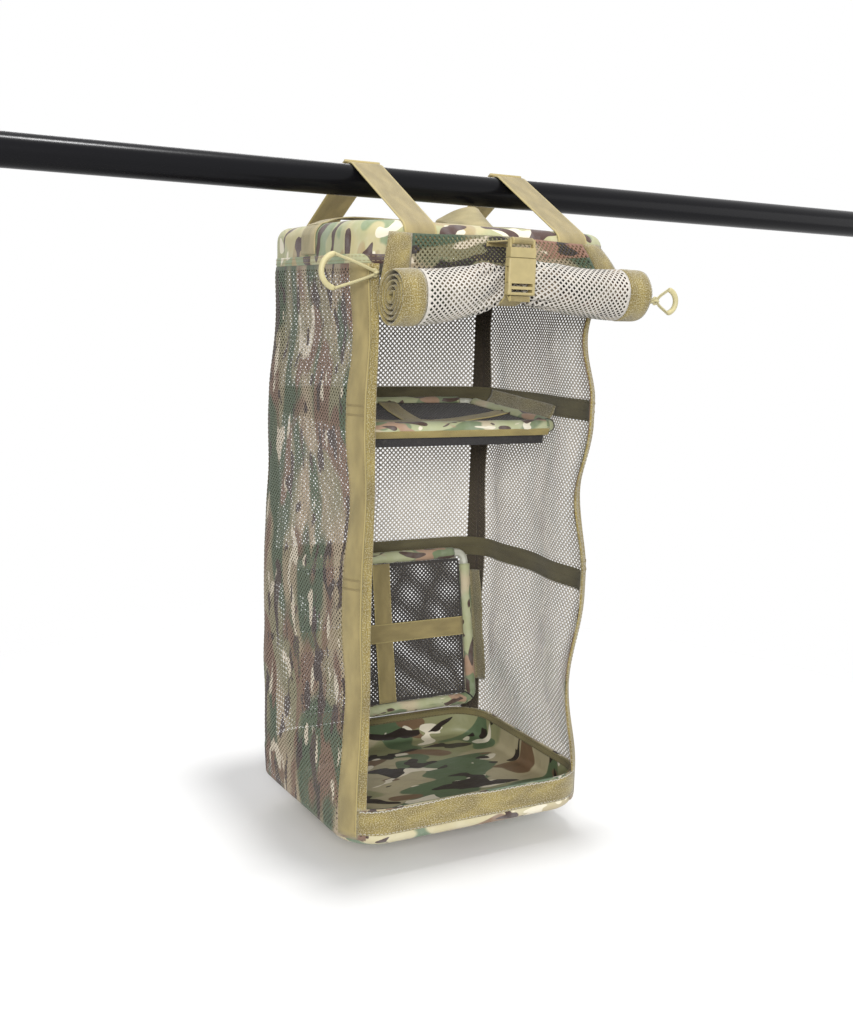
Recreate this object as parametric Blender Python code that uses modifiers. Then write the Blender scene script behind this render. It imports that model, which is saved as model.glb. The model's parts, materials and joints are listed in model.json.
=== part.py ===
"""A hanging mesh storage shelf: a padded cap and a tray joined by three mesh walls, two fold-down
shelves inside, and a mesh door rolled up over the open front and held by a buckled strap.

Metres, +Z up. The origin is the axis of the bar that the two straps hang from, midway along it.
The open front faces -Y. The underside of the tray is BAR_ABOVE_BASE below the origin.
"""

import math

import bmesh
import bpy
from mathutils import Matrix, Vector

# Body
BODY_WIDTH = 0.320
BODY_DEPTH = 0.280
CORNER_RADIUS = 0.050
BAR_ABOVE_BASE = 0.734
CAP_BELOW_BAR = 0.050
CAP_DEPTH = 0.045
CAP_WALL = 0.0030
CAP_EDGE_RADIUS = 0.016
CAP_BOARD_THICKNESS = 0.0030
TRAY_DEPTH = 0.045
TRAY_WALL = 0.0020
TRAY_EDGE_RADIUS = 0.012
TRAY_BOARD_THICKNESS = 0.0025
LINER_WALL = 0.0010
MESH_THICKNESS = 0.0012
MESH_BOW = 0.006
OPENING_INSET = 0.023

# Webbing and tapes
CORNER_WEBBING_WIDTH = 0.025
STRAP_WIDTH = 0.038
STRAP_THICKNESS = 0.0016
STRAP_INSET = 0.065
STRAP_TAB = 0.018
BAR_DIAMETER = 0.035
BAR_CLEARANCE = 0.0005
EDGE_TAPE_WIDTH = 0.010
TAPE_THICKNESS = 0.0020
LIP_TAPE_HEIGHT = 0.030
RIM_BINDING_HEIGHT = 0.010
BAND_HEIGHT = 0.025
HANDLE_WIDTH = 0.038
HANDLE_LIFT = 0.0075
HANDLE_SLOPE_LENGTH = 0.045
HANDLE_FOLD_TILT = 40.0
HANDLE_FOLD_FORWARD = 0.040
HANDLE_FOLD_X = 0.032
HANDLE_FOLD_LENGTH = 0.076

# Shelves
UPPER_HINGE_HEIGHT = 0.474
SHELF_SPACING = 0.205
SHELF_REACH = 0.200
SHELF_SIDE_ROOM = 0.033
UPPER_SHELF_DROOP = 3.5
UPPER_SHELF_SAG = 0.012
LOWER_SHELF_DROOP = 80.0
LOWER_SHELF_SAG = 0.001
ROD_DIAMETER = 0.011
ROD_CORNER_RADIUS = 0.012
SHELF_MESH_MARGIN = 0.008
SHELF_MESH_CORNER = 0.0025
SLEEVE_DIAMETER = 0.015
SLEEVE_SEAM = 4.0
SLEEVE_REAR_GAP = 0.004
SHELF_WEBBING_WIDTH = 0.025
FLAP_LENGTH = 0.125
FLAP_SEAM = 0.003
FLAP_LEAN = 0.014
FLAP_TURN_UP = 0.020
FLAP_THICKNESS = 0.0016
HOOK_STRIP_HEIGHT = 0.013
CORNER_LOOP_CORD = 0.0022
BAND_OVER_HINGE = 0.008

# Door, rolled up
DOOR_INSET = 0.007
DOOR_SHIFT = 0.0095
ROLL_RADIUS = 0.030
ROLL_PITCH = 0.0054
ROLL_TURNS = 4.2
ROLL_CORE_TURNS = 0.7
ROLL_DROP = 0.028
ROLL_PINCH = 0.25
ROLL_PINCH_SPREAD = 0.030
ROLL_PINCH_LIFT = 0.006
DOOR_TAPE_WIDTH = 0.028
DOOR_TAPE_THICKNESS = 0.0022

# Retainer strap and side-release buckle
RETAINER_X = -0.007
RETAINER_WIDTH = 0.025
RETAINER_SEAM_RISE = 0.004
RETAINER_SEWN = 0.005
RETAINER_TUCK = 0.006
BUCKLE_WIDTH = 0.033
BUCKLE_THICKNESS = 0.009
BUCKLE_EDGE = 0.0015
SOCKET_LENGTH = 0.038
SOCKET_WALL = 0.0015
SOCKET_BAR = 0.003
SOCKET_SLOT = 0.003
PLUG_BASE_LENGTH = 0.010
PLUG_SLOT = 0.005
PLUG_BAR = 0.0035
PRONG_LENGTH = 0.025
PRONG_WIDTH = 0.0035
PRONG_SPREAD = 0.009
PRONG_HEAD = 0.0045
PRONG_HEAD_LENGTH = 0.011
PRONG_CATCH_ROOM = 0.005
PLUG_INSET = 0.001

# Strap sliders
SLIDER_WIDTH = 0.044
SLIDER_LENGTH = 0.024
SLIDER_THICKNESS = 0.0032
SLIDER_BAR = 0.0035
SLIDER_SEAT = 0.006

# Pull loops
LOOP_CORD = 0.0032
LOOP_GRIP = 0.0060
LOOP_KNOT = 0.006
LEFT_LOOP_RADIUS = 0.0175
LEFT_LOOP_LENGTH = 0.060
RIGHT_LOOP_RADIUS = 0.0130
RIGHT_LOOP_LENGTH = 0.028
LEFT_LOOP_BELOW_SEAM = 0.010

GAP = 0.0003
CORNER_STEPS = 6
STRAIGHT_STEPS = 3
ROD_BEND_STEPS = 4
SPAN_STEPS = 7
ROLL_STEPS = 16

# Widths, and heights in the part's frame, worked out from the sizes above
OPENING_HALF_WIDTH = BODY_WIDTH / 2 - OPENING_INSET
SHELF_HALF_SPAN = BODY_WIDTH / 2 - SHELF_SIDE_ROOM
DOOR_LENGTH = BODY_WIDTH - 2 * DOOR_INSET
DOOR_SEAM_HALF = BODY_WIDTH / 2 - CORNER_RADIUS
STRAP_SPACING = BODY_WIDTH - 2 * STRAP_INSET
BASE_Z = -BAR_ABOVE_BASE
CAP_TOP_Z = -CAP_BELOW_BAR
SEAM_Z = CAP_TOP_Z - CAP_DEPTH
TRAY_TOP_Z = BASE_Z + TRAY_DEPTH
UPPER_HINGE_Z = BASE_Z + UPPER_HINGE_HEIGHT
LOWER_HINGE_Z = UPPER_HINGE_Z - SHELF_SPACING
LINER_FACE = -(TRAY_WALL + GAP + LINER_WALL)
BAND_FACE = -(MESH_THICKNESS + GAP + TAPE_THICKNESS)
HINGE_Y = BODY_DEPTH / 2 + BAND_FACE - GAP - SLEEVE_DIAMETER / 2

KHAKI = ("khaki_webbing", (0.33, 0.26, 0.12), 0.85)
VELVET = ("loop_tape", (0.40, 0.31, 0.10), 0.95)
CAMO = ("camo_fabric", (0.30, 0.28, 0.18), 0.70)
MESH = ("mesh_fabric", (0.45, 0.42, 0.36), 0.80)
LAMINATE = ("camo_laminate", (0.22, 0.23, 0.14), 0.35)
PLASTIC = ("khaki_plastic", (0.36, 0.29, 0.14), 0.45)
BLACK = ("black_hook_tape", (0.02, 0.02, 0.02), 0.90)
BOARD = ("stiffener_board", (0.10, 0.10, 0.10), 0.60)
ROD = ("glass_fibre_rod", (0.25, 0.25, 0.22), 0.40)
CORD = ("pull_cord", (0.55, 0.48, 0.30), 0.70)


def clear_scene():
    for obj in list(bpy.data.objects):
        bpy.data.objects.remove(obj, do_unlink=True)


def new_collection(name):
    made = bpy.data.collections.new(name)
    bpy.context.scene.collection.children.link(made)
    return made


def material_of(finish):
    """The material of one finish, made on its first use."""
    name, colour, roughness = finish
    if name in bpy.data.materials:
        return bpy.data.materials[name]
    made = bpy.data.materials.new(name)
    made.use_nodes = True
    shader = made.node_tree.nodes["Principled BSDF"]
    shader.inputs["Base Color"].default_value = (*colour, 1.0)
    shader.inputs["Roughness"].default_value = roughness
    shader.inputs["Metallic"].default_value = 0.0
    return made


def add_object(name, data, finish, parent=None):
    obj = bpy.data.objects.new(name, data)
    PARTS.objects.link(obj)
    data.materials.append(material_of(finish))
    obj.parent = parent
    return obj


def mesh_object(name, bm, finish, parent=None):
    mesh = bpy.data.meshes.new(name)
    bm.to_mesh(mesh)
    bm.free()
    mesh.shade_smooth()
    mesh.set_sharp_from_angle(angle=math.radians(35))
    return add_object(name, mesh, finish, parent)


def cutter_from(bm, name):
    mesh = bpy.data.meshes.new(name)
    bm.to_mesh(mesh)
    bm.free()
    obj = bpy.data.objects.new(name, mesh)
    CUTTERS.objects.link(obj)
    obj.hide_render = True
    obj.display_type = "WIRE"
    return obj


def cut(obj, cutter):
    step = obj.modifiers.new("cut", "BOOLEAN")
    step.operation = "DIFFERENCE"
    step.object = cutter


def placed_grid(columns, rows, place):
    """A grid primitive whose point (i, j) is moved to place(i, j)."""
    bm = bmesh.new()
    bmesh.ops.create_grid(bm, x_segments=columns, y_segments=rows, size=1)
    for point in bm.verts:
        i = round((point.co.x + 1) / 2 * columns)
        j = round((point.co.y + 1) / 2 * rows)
        point.co = place(i, j)
    bm.normal_update()
    return bm


def thicken(obj, thickness, offset):
    wall = obj.modifiers.new("thickness", "SOLIDIFY")
    wall.thickness = thickness
    wall.offset = offset
    wall.use_even_offset = True


def sheet(name, columns, rows, place, thickness, finish, outward=None, parent=None):
    """A sheet on the points of place. With outward, a rough outward direction at the first face,
    the points are its outer face; without, they are its middle."""
    bm = placed_grid(columns, rows, place)
    bm.faces.ensure_lookup_table()
    if outward is not None and bm.faces[0].normal.dot(outward) < 0:
        bmesh.ops.reverse_faces(bm, faces=bm.faces)
    obj = mesh_object(name, bm, finish, parent)
    thicken(obj, thickness, 0.0 if outward is None else -1.0)
    return obj


def ribbon(name, path, across, width, thickness, finish, parent=None):
    """A flat strap along the points of path. across is the direction of its width at each point,
    or one direction for all of them."""
    sides = across if isinstance(across, list) else [across] * len(path)

    def place(i, j):
        return path[i] + sides[i].normalized() * width * (j - 0.5)

    return sheet(name, len(path) - 1, 1, place, thickness, finish, parent=parent)


def arc(centre, radius, start, end, steps, flat="YZ"):
    """Points of an arc in the YZ or XZ plane, from start to end in degrees."""
    points = []
    for k in range(steps + 1):
        turn = math.radians(start + (end - start) * k / steps)
        offset = radius * math.cos(turn), radius * math.sin(turn)
        if flat == "YZ":
            points.append(centre + Vector((0, offset[0], offset[1])))
        else:
            points.append(centre + Vector((offset[0], 0, offset[1])))
    return points


def block(bm, low, high):
    """A box primitive between two corners, added to bm."""
    low, high = Vector(low), Vector(high)
    made = bmesh.ops.create_cube(bm, size=1)["verts"]
    for point in made:
        point.co = (low + high) / 2 + Vector(a * b for a, b in zip(point.co, high - low))
    return made


def tube_curve(name, points, diameter, finish, parent=None, closed=False):
    """A round cord along the points, with filled ends unless it is a closed loop."""
    curve = bpy.data.curves.new(name, "CURVE")
    curve.dimensions = "3D"
    curve.bevel_depth = diameter / 2
    curve.bevel_resolution = 2
    curve.use_fill_caps = not closed
    spline = curve.splines.new("POLY")
    spline.points.add(len(points) - 1)
    for slot, point in zip(spline.points, points):
        slot.co = (*point, 1)
    spline.use_cyclic_u = closed
    return add_object(name, curve, finish, parent)


def meshed(tube):
    """The tube as a mesh with its caps welded, so that a Boolean can join to it."""
    name, parent, curve = tube.name, tube.parent, tube.data
    bpy.context.view_layer.update()
    mesh = bpy.data.meshes.new_from_object(tube.evaluated_get(bpy.context.evaluated_depsgraph_get()))
    bm = bmesh.new()
    bm.from_mesh(mesh)
    bmesh.ops.remove_doubles(bm, verts=bm.verts, dist=1e-5)
    bm.to_mesh(mesh)
    bm.free()
    bpy.data.objects.remove(tube, do_unlink=True)
    bpy.data.curves.remove(curve)
    mesh.name = name
    obj = bpy.data.objects.new(name, mesh)
    PARTS.objects.link(obj)
    obj.parent = parent
    return obj


def outline_stations():
    """(distance round the body, point, outward normal) at each corner of the plan's outline,
    starting at the middle of the front and going to the left side first."""
    half_w = BODY_WIDTH / 2 - CORNER_RADIUS
    half_d = BODY_DEPTH / 2 - CORNER_RADIUS
    stations = []
    distance = 0.0

    def straight(start, end, normal):
        nonlocal distance
        start, end = Vector(start), Vector(end)
        for k in range(STRAIGHT_STEPS):
            part = k / STRAIGHT_STEPS
            stations.append((distance + part * (end - start).length, start.lerp(end, part), Vector(normal)))
        distance += (end - start).length

    def corner(x, y, first):
        nonlocal distance
        for k in range(CORNER_STEPS):
            turn = math.radians(first - 90 * k / CORNER_STEPS)
            normal = Vector((math.cos(turn), math.sin(turn), 0))
            point = Vector((x, y, 0)) + normal * CORNER_RADIUS
            stations.append((distance + CORNER_RADIUS * math.pi / 2 * k / CORNER_STEPS, point, normal))
        distance += CORNER_RADIUS * math.pi / 2

    front, left = -BODY_DEPTH / 2, -BODY_WIDTH / 2
    straight((0, front, 0), (-half_w, front, 0), (0, -1, 0))
    corner(-half_w, -half_d, -90)
    straight((left, -half_d, 0), (left, half_d, 0), (-1, 0, 0))
    corner(-half_w, half_d, 180)
    straight((-half_w, -front, 0), (half_w, -front, 0), (0, 1, 0))
    corner(half_w, half_d, 90)
    straight((-left, half_d, 0), (-left, -half_d, 0), (1, 0, 0))
    corner(half_w, -half_d, 0)
    straight((half_w, front, 0), (0, front, 0), (0, -1, 0))
    return stations, distance


def level_stations():
    """(height, inward bow) up the walls. The mesh bows in between the places that hold it out:
    the tray, the two shelf bands and the cap."""
    low_band = LOWER_HINGE_Z + BAND_OVER_HINGE
    high_band = UPPER_HINGE_Z + BAND_OVER_HINGE
    spans = [
        (TRAY_TOP_Z, low_band - BAND_HEIGHT / 2),
        (low_band + BAND_HEIGHT / 2, high_band - BAND_HEIGHT / 2),
        (high_band + BAND_HEIGHT / 2, SEAM_Z),
    ]
    levels = [(BASE_Z, 0.0)]
    for low, high in spans:
        for k in range(SPAN_STEPS + 1):
            part = k / SPAN_STEPS
            levels.append((low + (high - low) * part, MESH_BOW * math.sin(math.pi * part) ** 2))
    levels.append((CAP_TOP_Z, 0.0))
    return levels


def between(stations, low, high):
    """The stations from low to high, with one made at each end."""

    def at(value):
        for one, two in zip(stations, stations[1:]):
            if one[0] <= value <= two[0]:
                part = (value - one[0]) / (two[0] - one[0])
                return (value, *(a + (b - a) * part for a, b in zip(one[1:], two[1:])))
        raise ValueError("a wall piece runs past the wall")

    inner = [s for s in stations if low + 1e-5 < s[0] < high - 1e-5]
    return [at(low), *inner, at(high)]


def wall_strip(name, start, end, low, high, face, thickness, finish):
    """A strip that follows the body's wall from start to end round it and from low to high up it.
    face is how far its outer face stands out from the wall's."""
    stations, length = outline_stations()
    round_twice = [(s + turn * length, p, n) for turn in (-1, 0, 1) for s, p, n in stations]
    columns = between(round_twice, start, end)
    levels = between(level_stations(), low, high)

    def place(i, j):
        _, point, normal = columns[i]
        height, bow = levels[j]
        return point + normal * (face - bow) + Vector((0, 0, height))

    outward = columns[0][2]
    return sheet(name, len(columns) - 1, len(levels) - 1, place, thickness, finish, outward)


def rounded_shell(name, inset, low, high, edge_radius, wall, open_top, finish):
    """A box with rounded corners, open at its top or its bottom."""
    bm = bmesh.new()
    half_w, half_d = BODY_WIDTH / 2 - inset, BODY_DEPTH / 2 - inset
    block(bm, (-half_w, -half_d, low), (half_w, half_d, high))
    upright = [e for e in bm.edges if abs(e.verts[0].co.z - e.verts[1].co.z) > 1e-6]
    corner = CORNER_RADIUS - inset
    bmesh.ops.bevel(bm, geom=upright, offset=corner, segments=CORNER_STEPS, profile=0.5, affect="EDGES")
    sign = 1 if open_top else -1
    mouth = [f for f in bm.faces if f.normal.z * sign > 0.9]
    bmesh.ops.delete(bm, geom=mouth, context="FACES")
    if edge_radius > 0:
        closed_z = low if open_top else high
        rim = [e for e in bm.edges if all(abs(v.co.z - closed_z) < 1e-6 for v in e.verts)]
        bmesh.ops.bevel(bm, geom=rim, offset=edge_radius, segments=3, profile=0.5, affect="EDGES")
    obj = mesh_object(name, bm, finish)
    thicken(obj, wall, -1.0)
    return obj


def rounded_board(name, inset, low, high, finish):
    bm = bmesh.new()
    half_w, half_d = BODY_WIDTH / 2 - inset, BODY_DEPTH / 2 - inset
    block(bm, (-half_w, -half_d, low), (half_w, half_d, high))
    upright = [e for e in bm.edges if abs(e.verts[0].co.z - e.verts[1].co.z) > 1e-6]
    corner = CORNER_RADIUS - inset
    bmesh.ops.bevel(bm, geom=upright, offset=corner, segments=CORNER_STEPS, profile=0.5, affect="EDGES")
    return mesh_object(name, bm, finish)


def make_cap_and_tray():
    rounded_shell("cap_shell", 0.0, SEAM_Z, CAP_TOP_Z, CAP_EDGE_RADIUS, CAP_WALL, False, CAMO)
    board_top = CAP_TOP_Z - CAP_WALL - GAP
    rounded_board("cap_board", CAP_EDGE_RADIUS + GAP, board_top - CAP_BOARD_THICKNESS, board_top, BOARD)
    rounded_shell("tray_shell", 0.0, BASE_Z, TRAY_TOP_Z, TRAY_EDGE_RADIUS, TRAY_WALL, True, CAMO)
    board_low = BASE_Z + TRAY_WALL + GAP
    board_high = board_low + TRAY_BOARD_THICKNESS
    rounded_board("tray_board", TRAY_EDGE_RADIUS + GAP, board_low, board_high, BOARD)
    inset = TRAY_WALL + GAP
    edge = TRAY_EDGE_RADIUS - TRAY_WALL
    rounded_shell("tray_liner", inset, board_high + GAP, TRAY_TOP_Z, edge, LINER_WALL, True, LAMINATE)


def make_walls():
    half_w = BODY_WIDTH / 2 - CORNER_RADIUS
    half_d = BODY_DEPTH / 2 - CORNER_RADIUS
    quarter = CORNER_RADIUS * math.pi / 2
    total = outline_stations()[1]
    opening = half_w + CORNER_RADIUS * math.asin((OPENING_HALF_WIDTH - half_w) / CORNER_RADIUS)
    webbing = opening + EDGE_TAPE_WIDTH + GAP
    back_seam = half_w + quarter + 2 * half_d + quarter / 2
    low, high = TRAY_TOP_Z + GAP, SEAM_Z - GAP

    def pair(name, start, end, bottom, top, face, thickness, finish):
        wall_strip("left_" + name, start, end, bottom, top, face, thickness, finish)
        wall_strip("right_" + name, total - end, total - start, bottom, top, face, thickness, finish)

    pair("mesh_panel", opening, back_seam - GAP, low, high, 0.0, MESH_THICKNESS, MESH)
    start, end = back_seam + GAP, total - back_seam - GAP
    wall_strip("back_mesh_panel", start, end, low, high, 0.0, MESH_THICKNESS, MESH)

    face = GAP + STRAP_THICKNESS
    webbing_low = BASE_Z + TRAY_EDGE_RADIUS
    span = CORNER_WEBBING_WIDTH
    pair("front_webbing", webbing, webbing + span, webbing_low, high, face, STRAP_THICKNESS, KHAKI)
    start = back_seam - span / 2
    pair("back_webbing", start, start + span, webbing_low, high, face, STRAP_THICKNESS, KHAKI)

    face = GAP + TAPE_THICKNESS
    lip_top = TRAY_TOP_Z - GAP
    lip_low = lip_top - LIP_TAPE_HEIGHT
    pair("edge_loop_tape", opening, opening + EDGE_TAPE_WIDTH, lip_top + GAP, high, face, TAPE_THICKNESS, VELVET)
    reach = opening + EDGE_TAPE_WIDTH
    wall_strip("lip_loop_tape", -reach, reach, lip_low, lip_top, face, TAPE_THICKNESS, VELVET)

    face = LINER_FACE - GAP
    low = TRAY_TOP_Z - RIM_BINDING_HEIGHT
    wall_strip("tray_rim_binding", opening, total - opening, low, TRAY_TOP_Z, face, STRAP_THICKNESS, KHAKI)

    face = -(MESH_THICKNESS + GAP)
    start = webbing
    for level, hinge_z in (("upper", UPPER_HINGE_Z), ("lower", LOWER_HINGE_Z)):
        low = hinge_z + BAND_OVER_HINGE - BAND_HEIGHT / 2
        wall_strip(level + "_wall_band", start, total - start, low, low + BAND_HEIGHT, face, TAPE_THICKNESS, KHAKI)


def strap_tangent():
    """The angle at which a hanging strap leaves the bar, from +Y, and the two arcs' centres and
    radii: the cap's front edge and the bar."""
    edge = Vector((0, -(BODY_DEPTH / 2 - CAP_EDGE_RADIUS), CAP_TOP_Z - CAP_EDGE_RADIUS))
    edge_radius = CAP_EDGE_RADIUS + 2 * GAP + STRAP_THICKNESS / 2
    bar_radius = BAR_DIAMETER / 2 + BAR_CLEARANCE + STRAP_THICKNESS / 2
    run = -edge
    slope = math.atan2(run.z, run.y) + math.asin((bar_radius - edge_radius) / run.length)
    return 90 + math.degrees(slope), edge, edge_radius, bar_radius


def make_hanging_straps():
    """Each strap is sewn to the cap's front, crosses the bar and is sewn to the cap's back. Its
    slider grips it just behind the bar and can be pushed down its rear run."""
    turn, edge, edge_radius, bar_radius = strap_tangent()
    slope = math.radians(turn - 90)
    front = arc(edge, edge_radius, 180, turn, 4)
    tab = front[0] - Vector((0, 0, STRAP_TAB))
    over = arc(Vector((0, 0, 0)), bar_radius, turn, 180 - turn, 6)
    rear = [Vector((p.x, -p.y, p.z)) for p in reversed(front)]
    path = [tab, *front, *over, *rear, Vector((0, -tab.y, tab.z))]
    along = Vector((0, math.cos(slope), -math.sin(slope)))
    above = Vector((0, math.sin(slope), math.cos(slope)))
    seat = over[-1] + along * SLIDER_SEAT + above * (STRAP_THICKNESS / 2 + GAP + SLIDER_THICKNESS / 2)
    for side, sign in (("left", -1), ("right", 1)):
        shift = Vector((sign * STRAP_SPACING / 2, 0, 0))
        points = [p + shift for p in path]
        ribbon(side + "_hanging_strap", points, Vector((1, 0, 0)), STRAP_WIDTH, STRAP_THICKNESS, KHAKI)
        slider = make_slider(side + "_strap_slider")
        slider.location = seat + shift
        slider.rotation_euler.x = -slope


def make_slider(name):
    """A flat three-bar slider for the webbing, lying in its own XY plane."""
    bm = bmesh.new()
    x, y, z = SLIDER_WIDTH / 2, SLIDER_LENGTH / 2, SLIDER_THICKNESS / 2
    block(bm, (-x, -y, -z), (x, y, z))
    bmesh.ops.bevel(bm, geom=bm.edges[:], offset=z / 2, segments=2, profile=0.5, affect="EDGES")
    obj = mesh_object(name, bm, PLASTIC)
    slot = (SLIDER_LENGTH - 3 * SLIDER_BAR) / 2
    holes = bmesh.new()
    for sign in (-1, 1):
        middle = sign * (SLIDER_BAR / 2 + slot / 2)
        half = STRAP_WIDTH / 2 + GAP
        block(holes, (-half, middle - slot / 2, -2 * z), (half, middle + slot / 2, 2 * z))
    cutter = cutter_from(holes, name + "_slots")
    cutter.parent = obj
    cut(obj, cutter)
    return obj


def make_carry_handle():
    """A webbing handle across the cap from side to side. Its slack stands up in a tilted fold in
    front of the bar."""
    centre = Vector((-(BODY_WIDTH / 2 - CAP_EDGE_RADIUS), 0, CAP_TOP_Z - CAP_EDGE_RADIUS))
    radius = CAP_EDGE_RADIUS + 2 * GAP + STRAP_THICKNESS / 2
    left = arc(centre, radius, 180, 110, 4, "XZ")
    left.insert(0, left[0] - Vector((0, 0, STRAP_TAB)))
    right = [Vector((-p.x, p.y, p.z)) for p in reversed(left)]
    run_z = CAP_TOP_Z + HANDLE_LIFT + STRAP_THICKNESS / 2
    run_end = BODY_WIDTH / 2 - HANDLE_SLOPE_LENGTH
    middle = [(-run_end, 0, 0), (HANDLE_FOLD_X - HANDLE_FOLD_LENGTH / 2, 0, 0)]
    fold_lift = HANDLE_WIDTH / 2 * math.sin(math.radians(HANDLE_FOLD_TILT)) - HANDLE_LIFT / 2
    for part, share in ((-0.36, 0.3), (-0.20, 0.8), (0.0, 1.0), (0.20, 0.8), (0.36, 0.3)):
        x = HANDLE_FOLD_X + part * HANDLE_FOLD_LENGTH
        middle.append((x, -HANDLE_FOLD_FORWARD * share, share))
    middle += [(HANDLE_FOLD_X + HANDLE_FOLD_LENGTH / 2, 0, 0), (run_end, 0, 0)]
    path, across = list(left), [Vector((0, 1, 0))] * len(left)
    for x, y, share in middle:
        tilt = math.radians(HANDLE_FOLD_TILT) * share
        path.append(Vector((x, y, run_z + fold_lift * share)))
        across.append(Vector((0, math.cos(tilt), math.sin(tilt))))
    path += right
    across += [Vector((0, 1, 0))] * len(right)
    ribbon("carry_handle", path, across, HANDLE_WIDTH, STRAP_THICKNESS, KHAKI)


def roll_shape(x):
    """How far the strap draws the roll in at x: the scale of its radius, and its lift."""
    near = math.exp(-(((x - RETAINER_X) / ROLL_PINCH_SPREAD) ** 2))
    return 1 - ROLL_PINCH * near, ROLL_PINCH_LIFT * near


def roll_back_y():
    return -(BODY_DEPTH / 2 + TAPE_THICKNESS)


def door_point(across, turns):
    """A point of the rolled door. across runs from 0 at its left edge to 1 at its right. turns is
    -1 at the seam under the cap, 0 where the hanging cloth meets the roll, then turns wound."""
    roll_x = DOOR_SHIFT + DOOR_LENGTH * (across - 0.5)
    if turns < 0:
        seam_y = -(BODY_DEPTH / 2 - MESH_THICKNESS)
        seam = Vector((DOOR_SEAM_HALF * (2 * across - 1), seam_y, SEAM_Z - GAP))
        start = door_point(across, 0)
        return start.lerp(seam, -turns)
    scale, lift = roll_shape(roll_x)
    centre_y = roll_back_y() - ROLL_RADIUS * scale
    radius = (ROLL_RADIUS - ROLL_PITCH * turns) * scale
    angle = -2 * math.pi * turns
    y = centre_y + radius * math.cos(angle)
    z = SEAM_Z - ROLL_DROP + lift + radius * math.sin(angle)
    return Vector((roll_x, y, z))


def make_door():
    """The mesh door, rolled up outward so that its inner face shows, with its edge tapes."""
    wound = round(ROLL_TURNS * ROLL_STEPS)
    turns = [-1.0, -0.5, *(k * ROLL_TURNS / wound for k in range(wound + 1))]
    tape = DOOR_TAPE_WIDTH / DOOR_LENGTH
    seam = 2 * GAP / DOOR_LENGTH
    pinch = 0.5 + (RETAINER_X - DOOR_SHIFT) / DOOR_LENGTH
    step = 0.8 * ROLL_PINCH_SPREAD / DOOR_LENGTH
    stations = [tape + seam, *(pinch + k * step for k in (-3, -1.5, -0.6, 0.6, 1.5, 3)), 1 - tape - seam]

    def strip(name, stops, winds, thickness, finish):
        def place(i, j):
            return door_point(stops[j], winds[i])

        sheet(name, len(winds) - 1, len(stops) - 1, place, thickness, finish)

    strip("door_mesh_roll", stations, turns, MESH_THICKNESS, MESH)
    strip("left_door_tape", [0.0, tape], turns, DOOR_TAPE_THICKNESS, VELVET)
    strip("right_door_tape", [1 - tape, 1.0], turns, DOOR_TAPE_THICKNESS, VELVET)
    core_steps = round(ROLL_CORE_TURNS * ROLL_STEPS)
    first = ROLL_TURNS + 2 * GAP / ROLL_RADIUS
    core = [first + k * ROLL_CORE_TURNS / core_steps for k in range(core_steps + 1)]
    strip("bottom_door_tape", [0.0, *stations, 1.0], core, DOOR_TAPE_THICKNESS, VELVET)
    tightest = ROLL_PITCH * (1 - ROLL_PINCH) - DOOR_TAPE_THICKNESS
    print(f"least gap between the roll's turns {tightest * 1000:.2f} mm")


def buckle_place():
    """The buckle's middle, in front of the pinched roll, and its lowest height."""
    scale = roll_shape(RETAINER_X + BUCKLE_WIDTH / 2)[0]
    front = roll_back_y() - 2 * ROLL_RADIUS * scale - MESH_THICKNESS / 2
    low = SEAM_Z - ROLL_DROP + ROLL_PINCH_LIFT - 2 * SOCKET_BAR
    return front - 2 * GAP - BUCKLE_THICKNESS / 2, low


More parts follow.
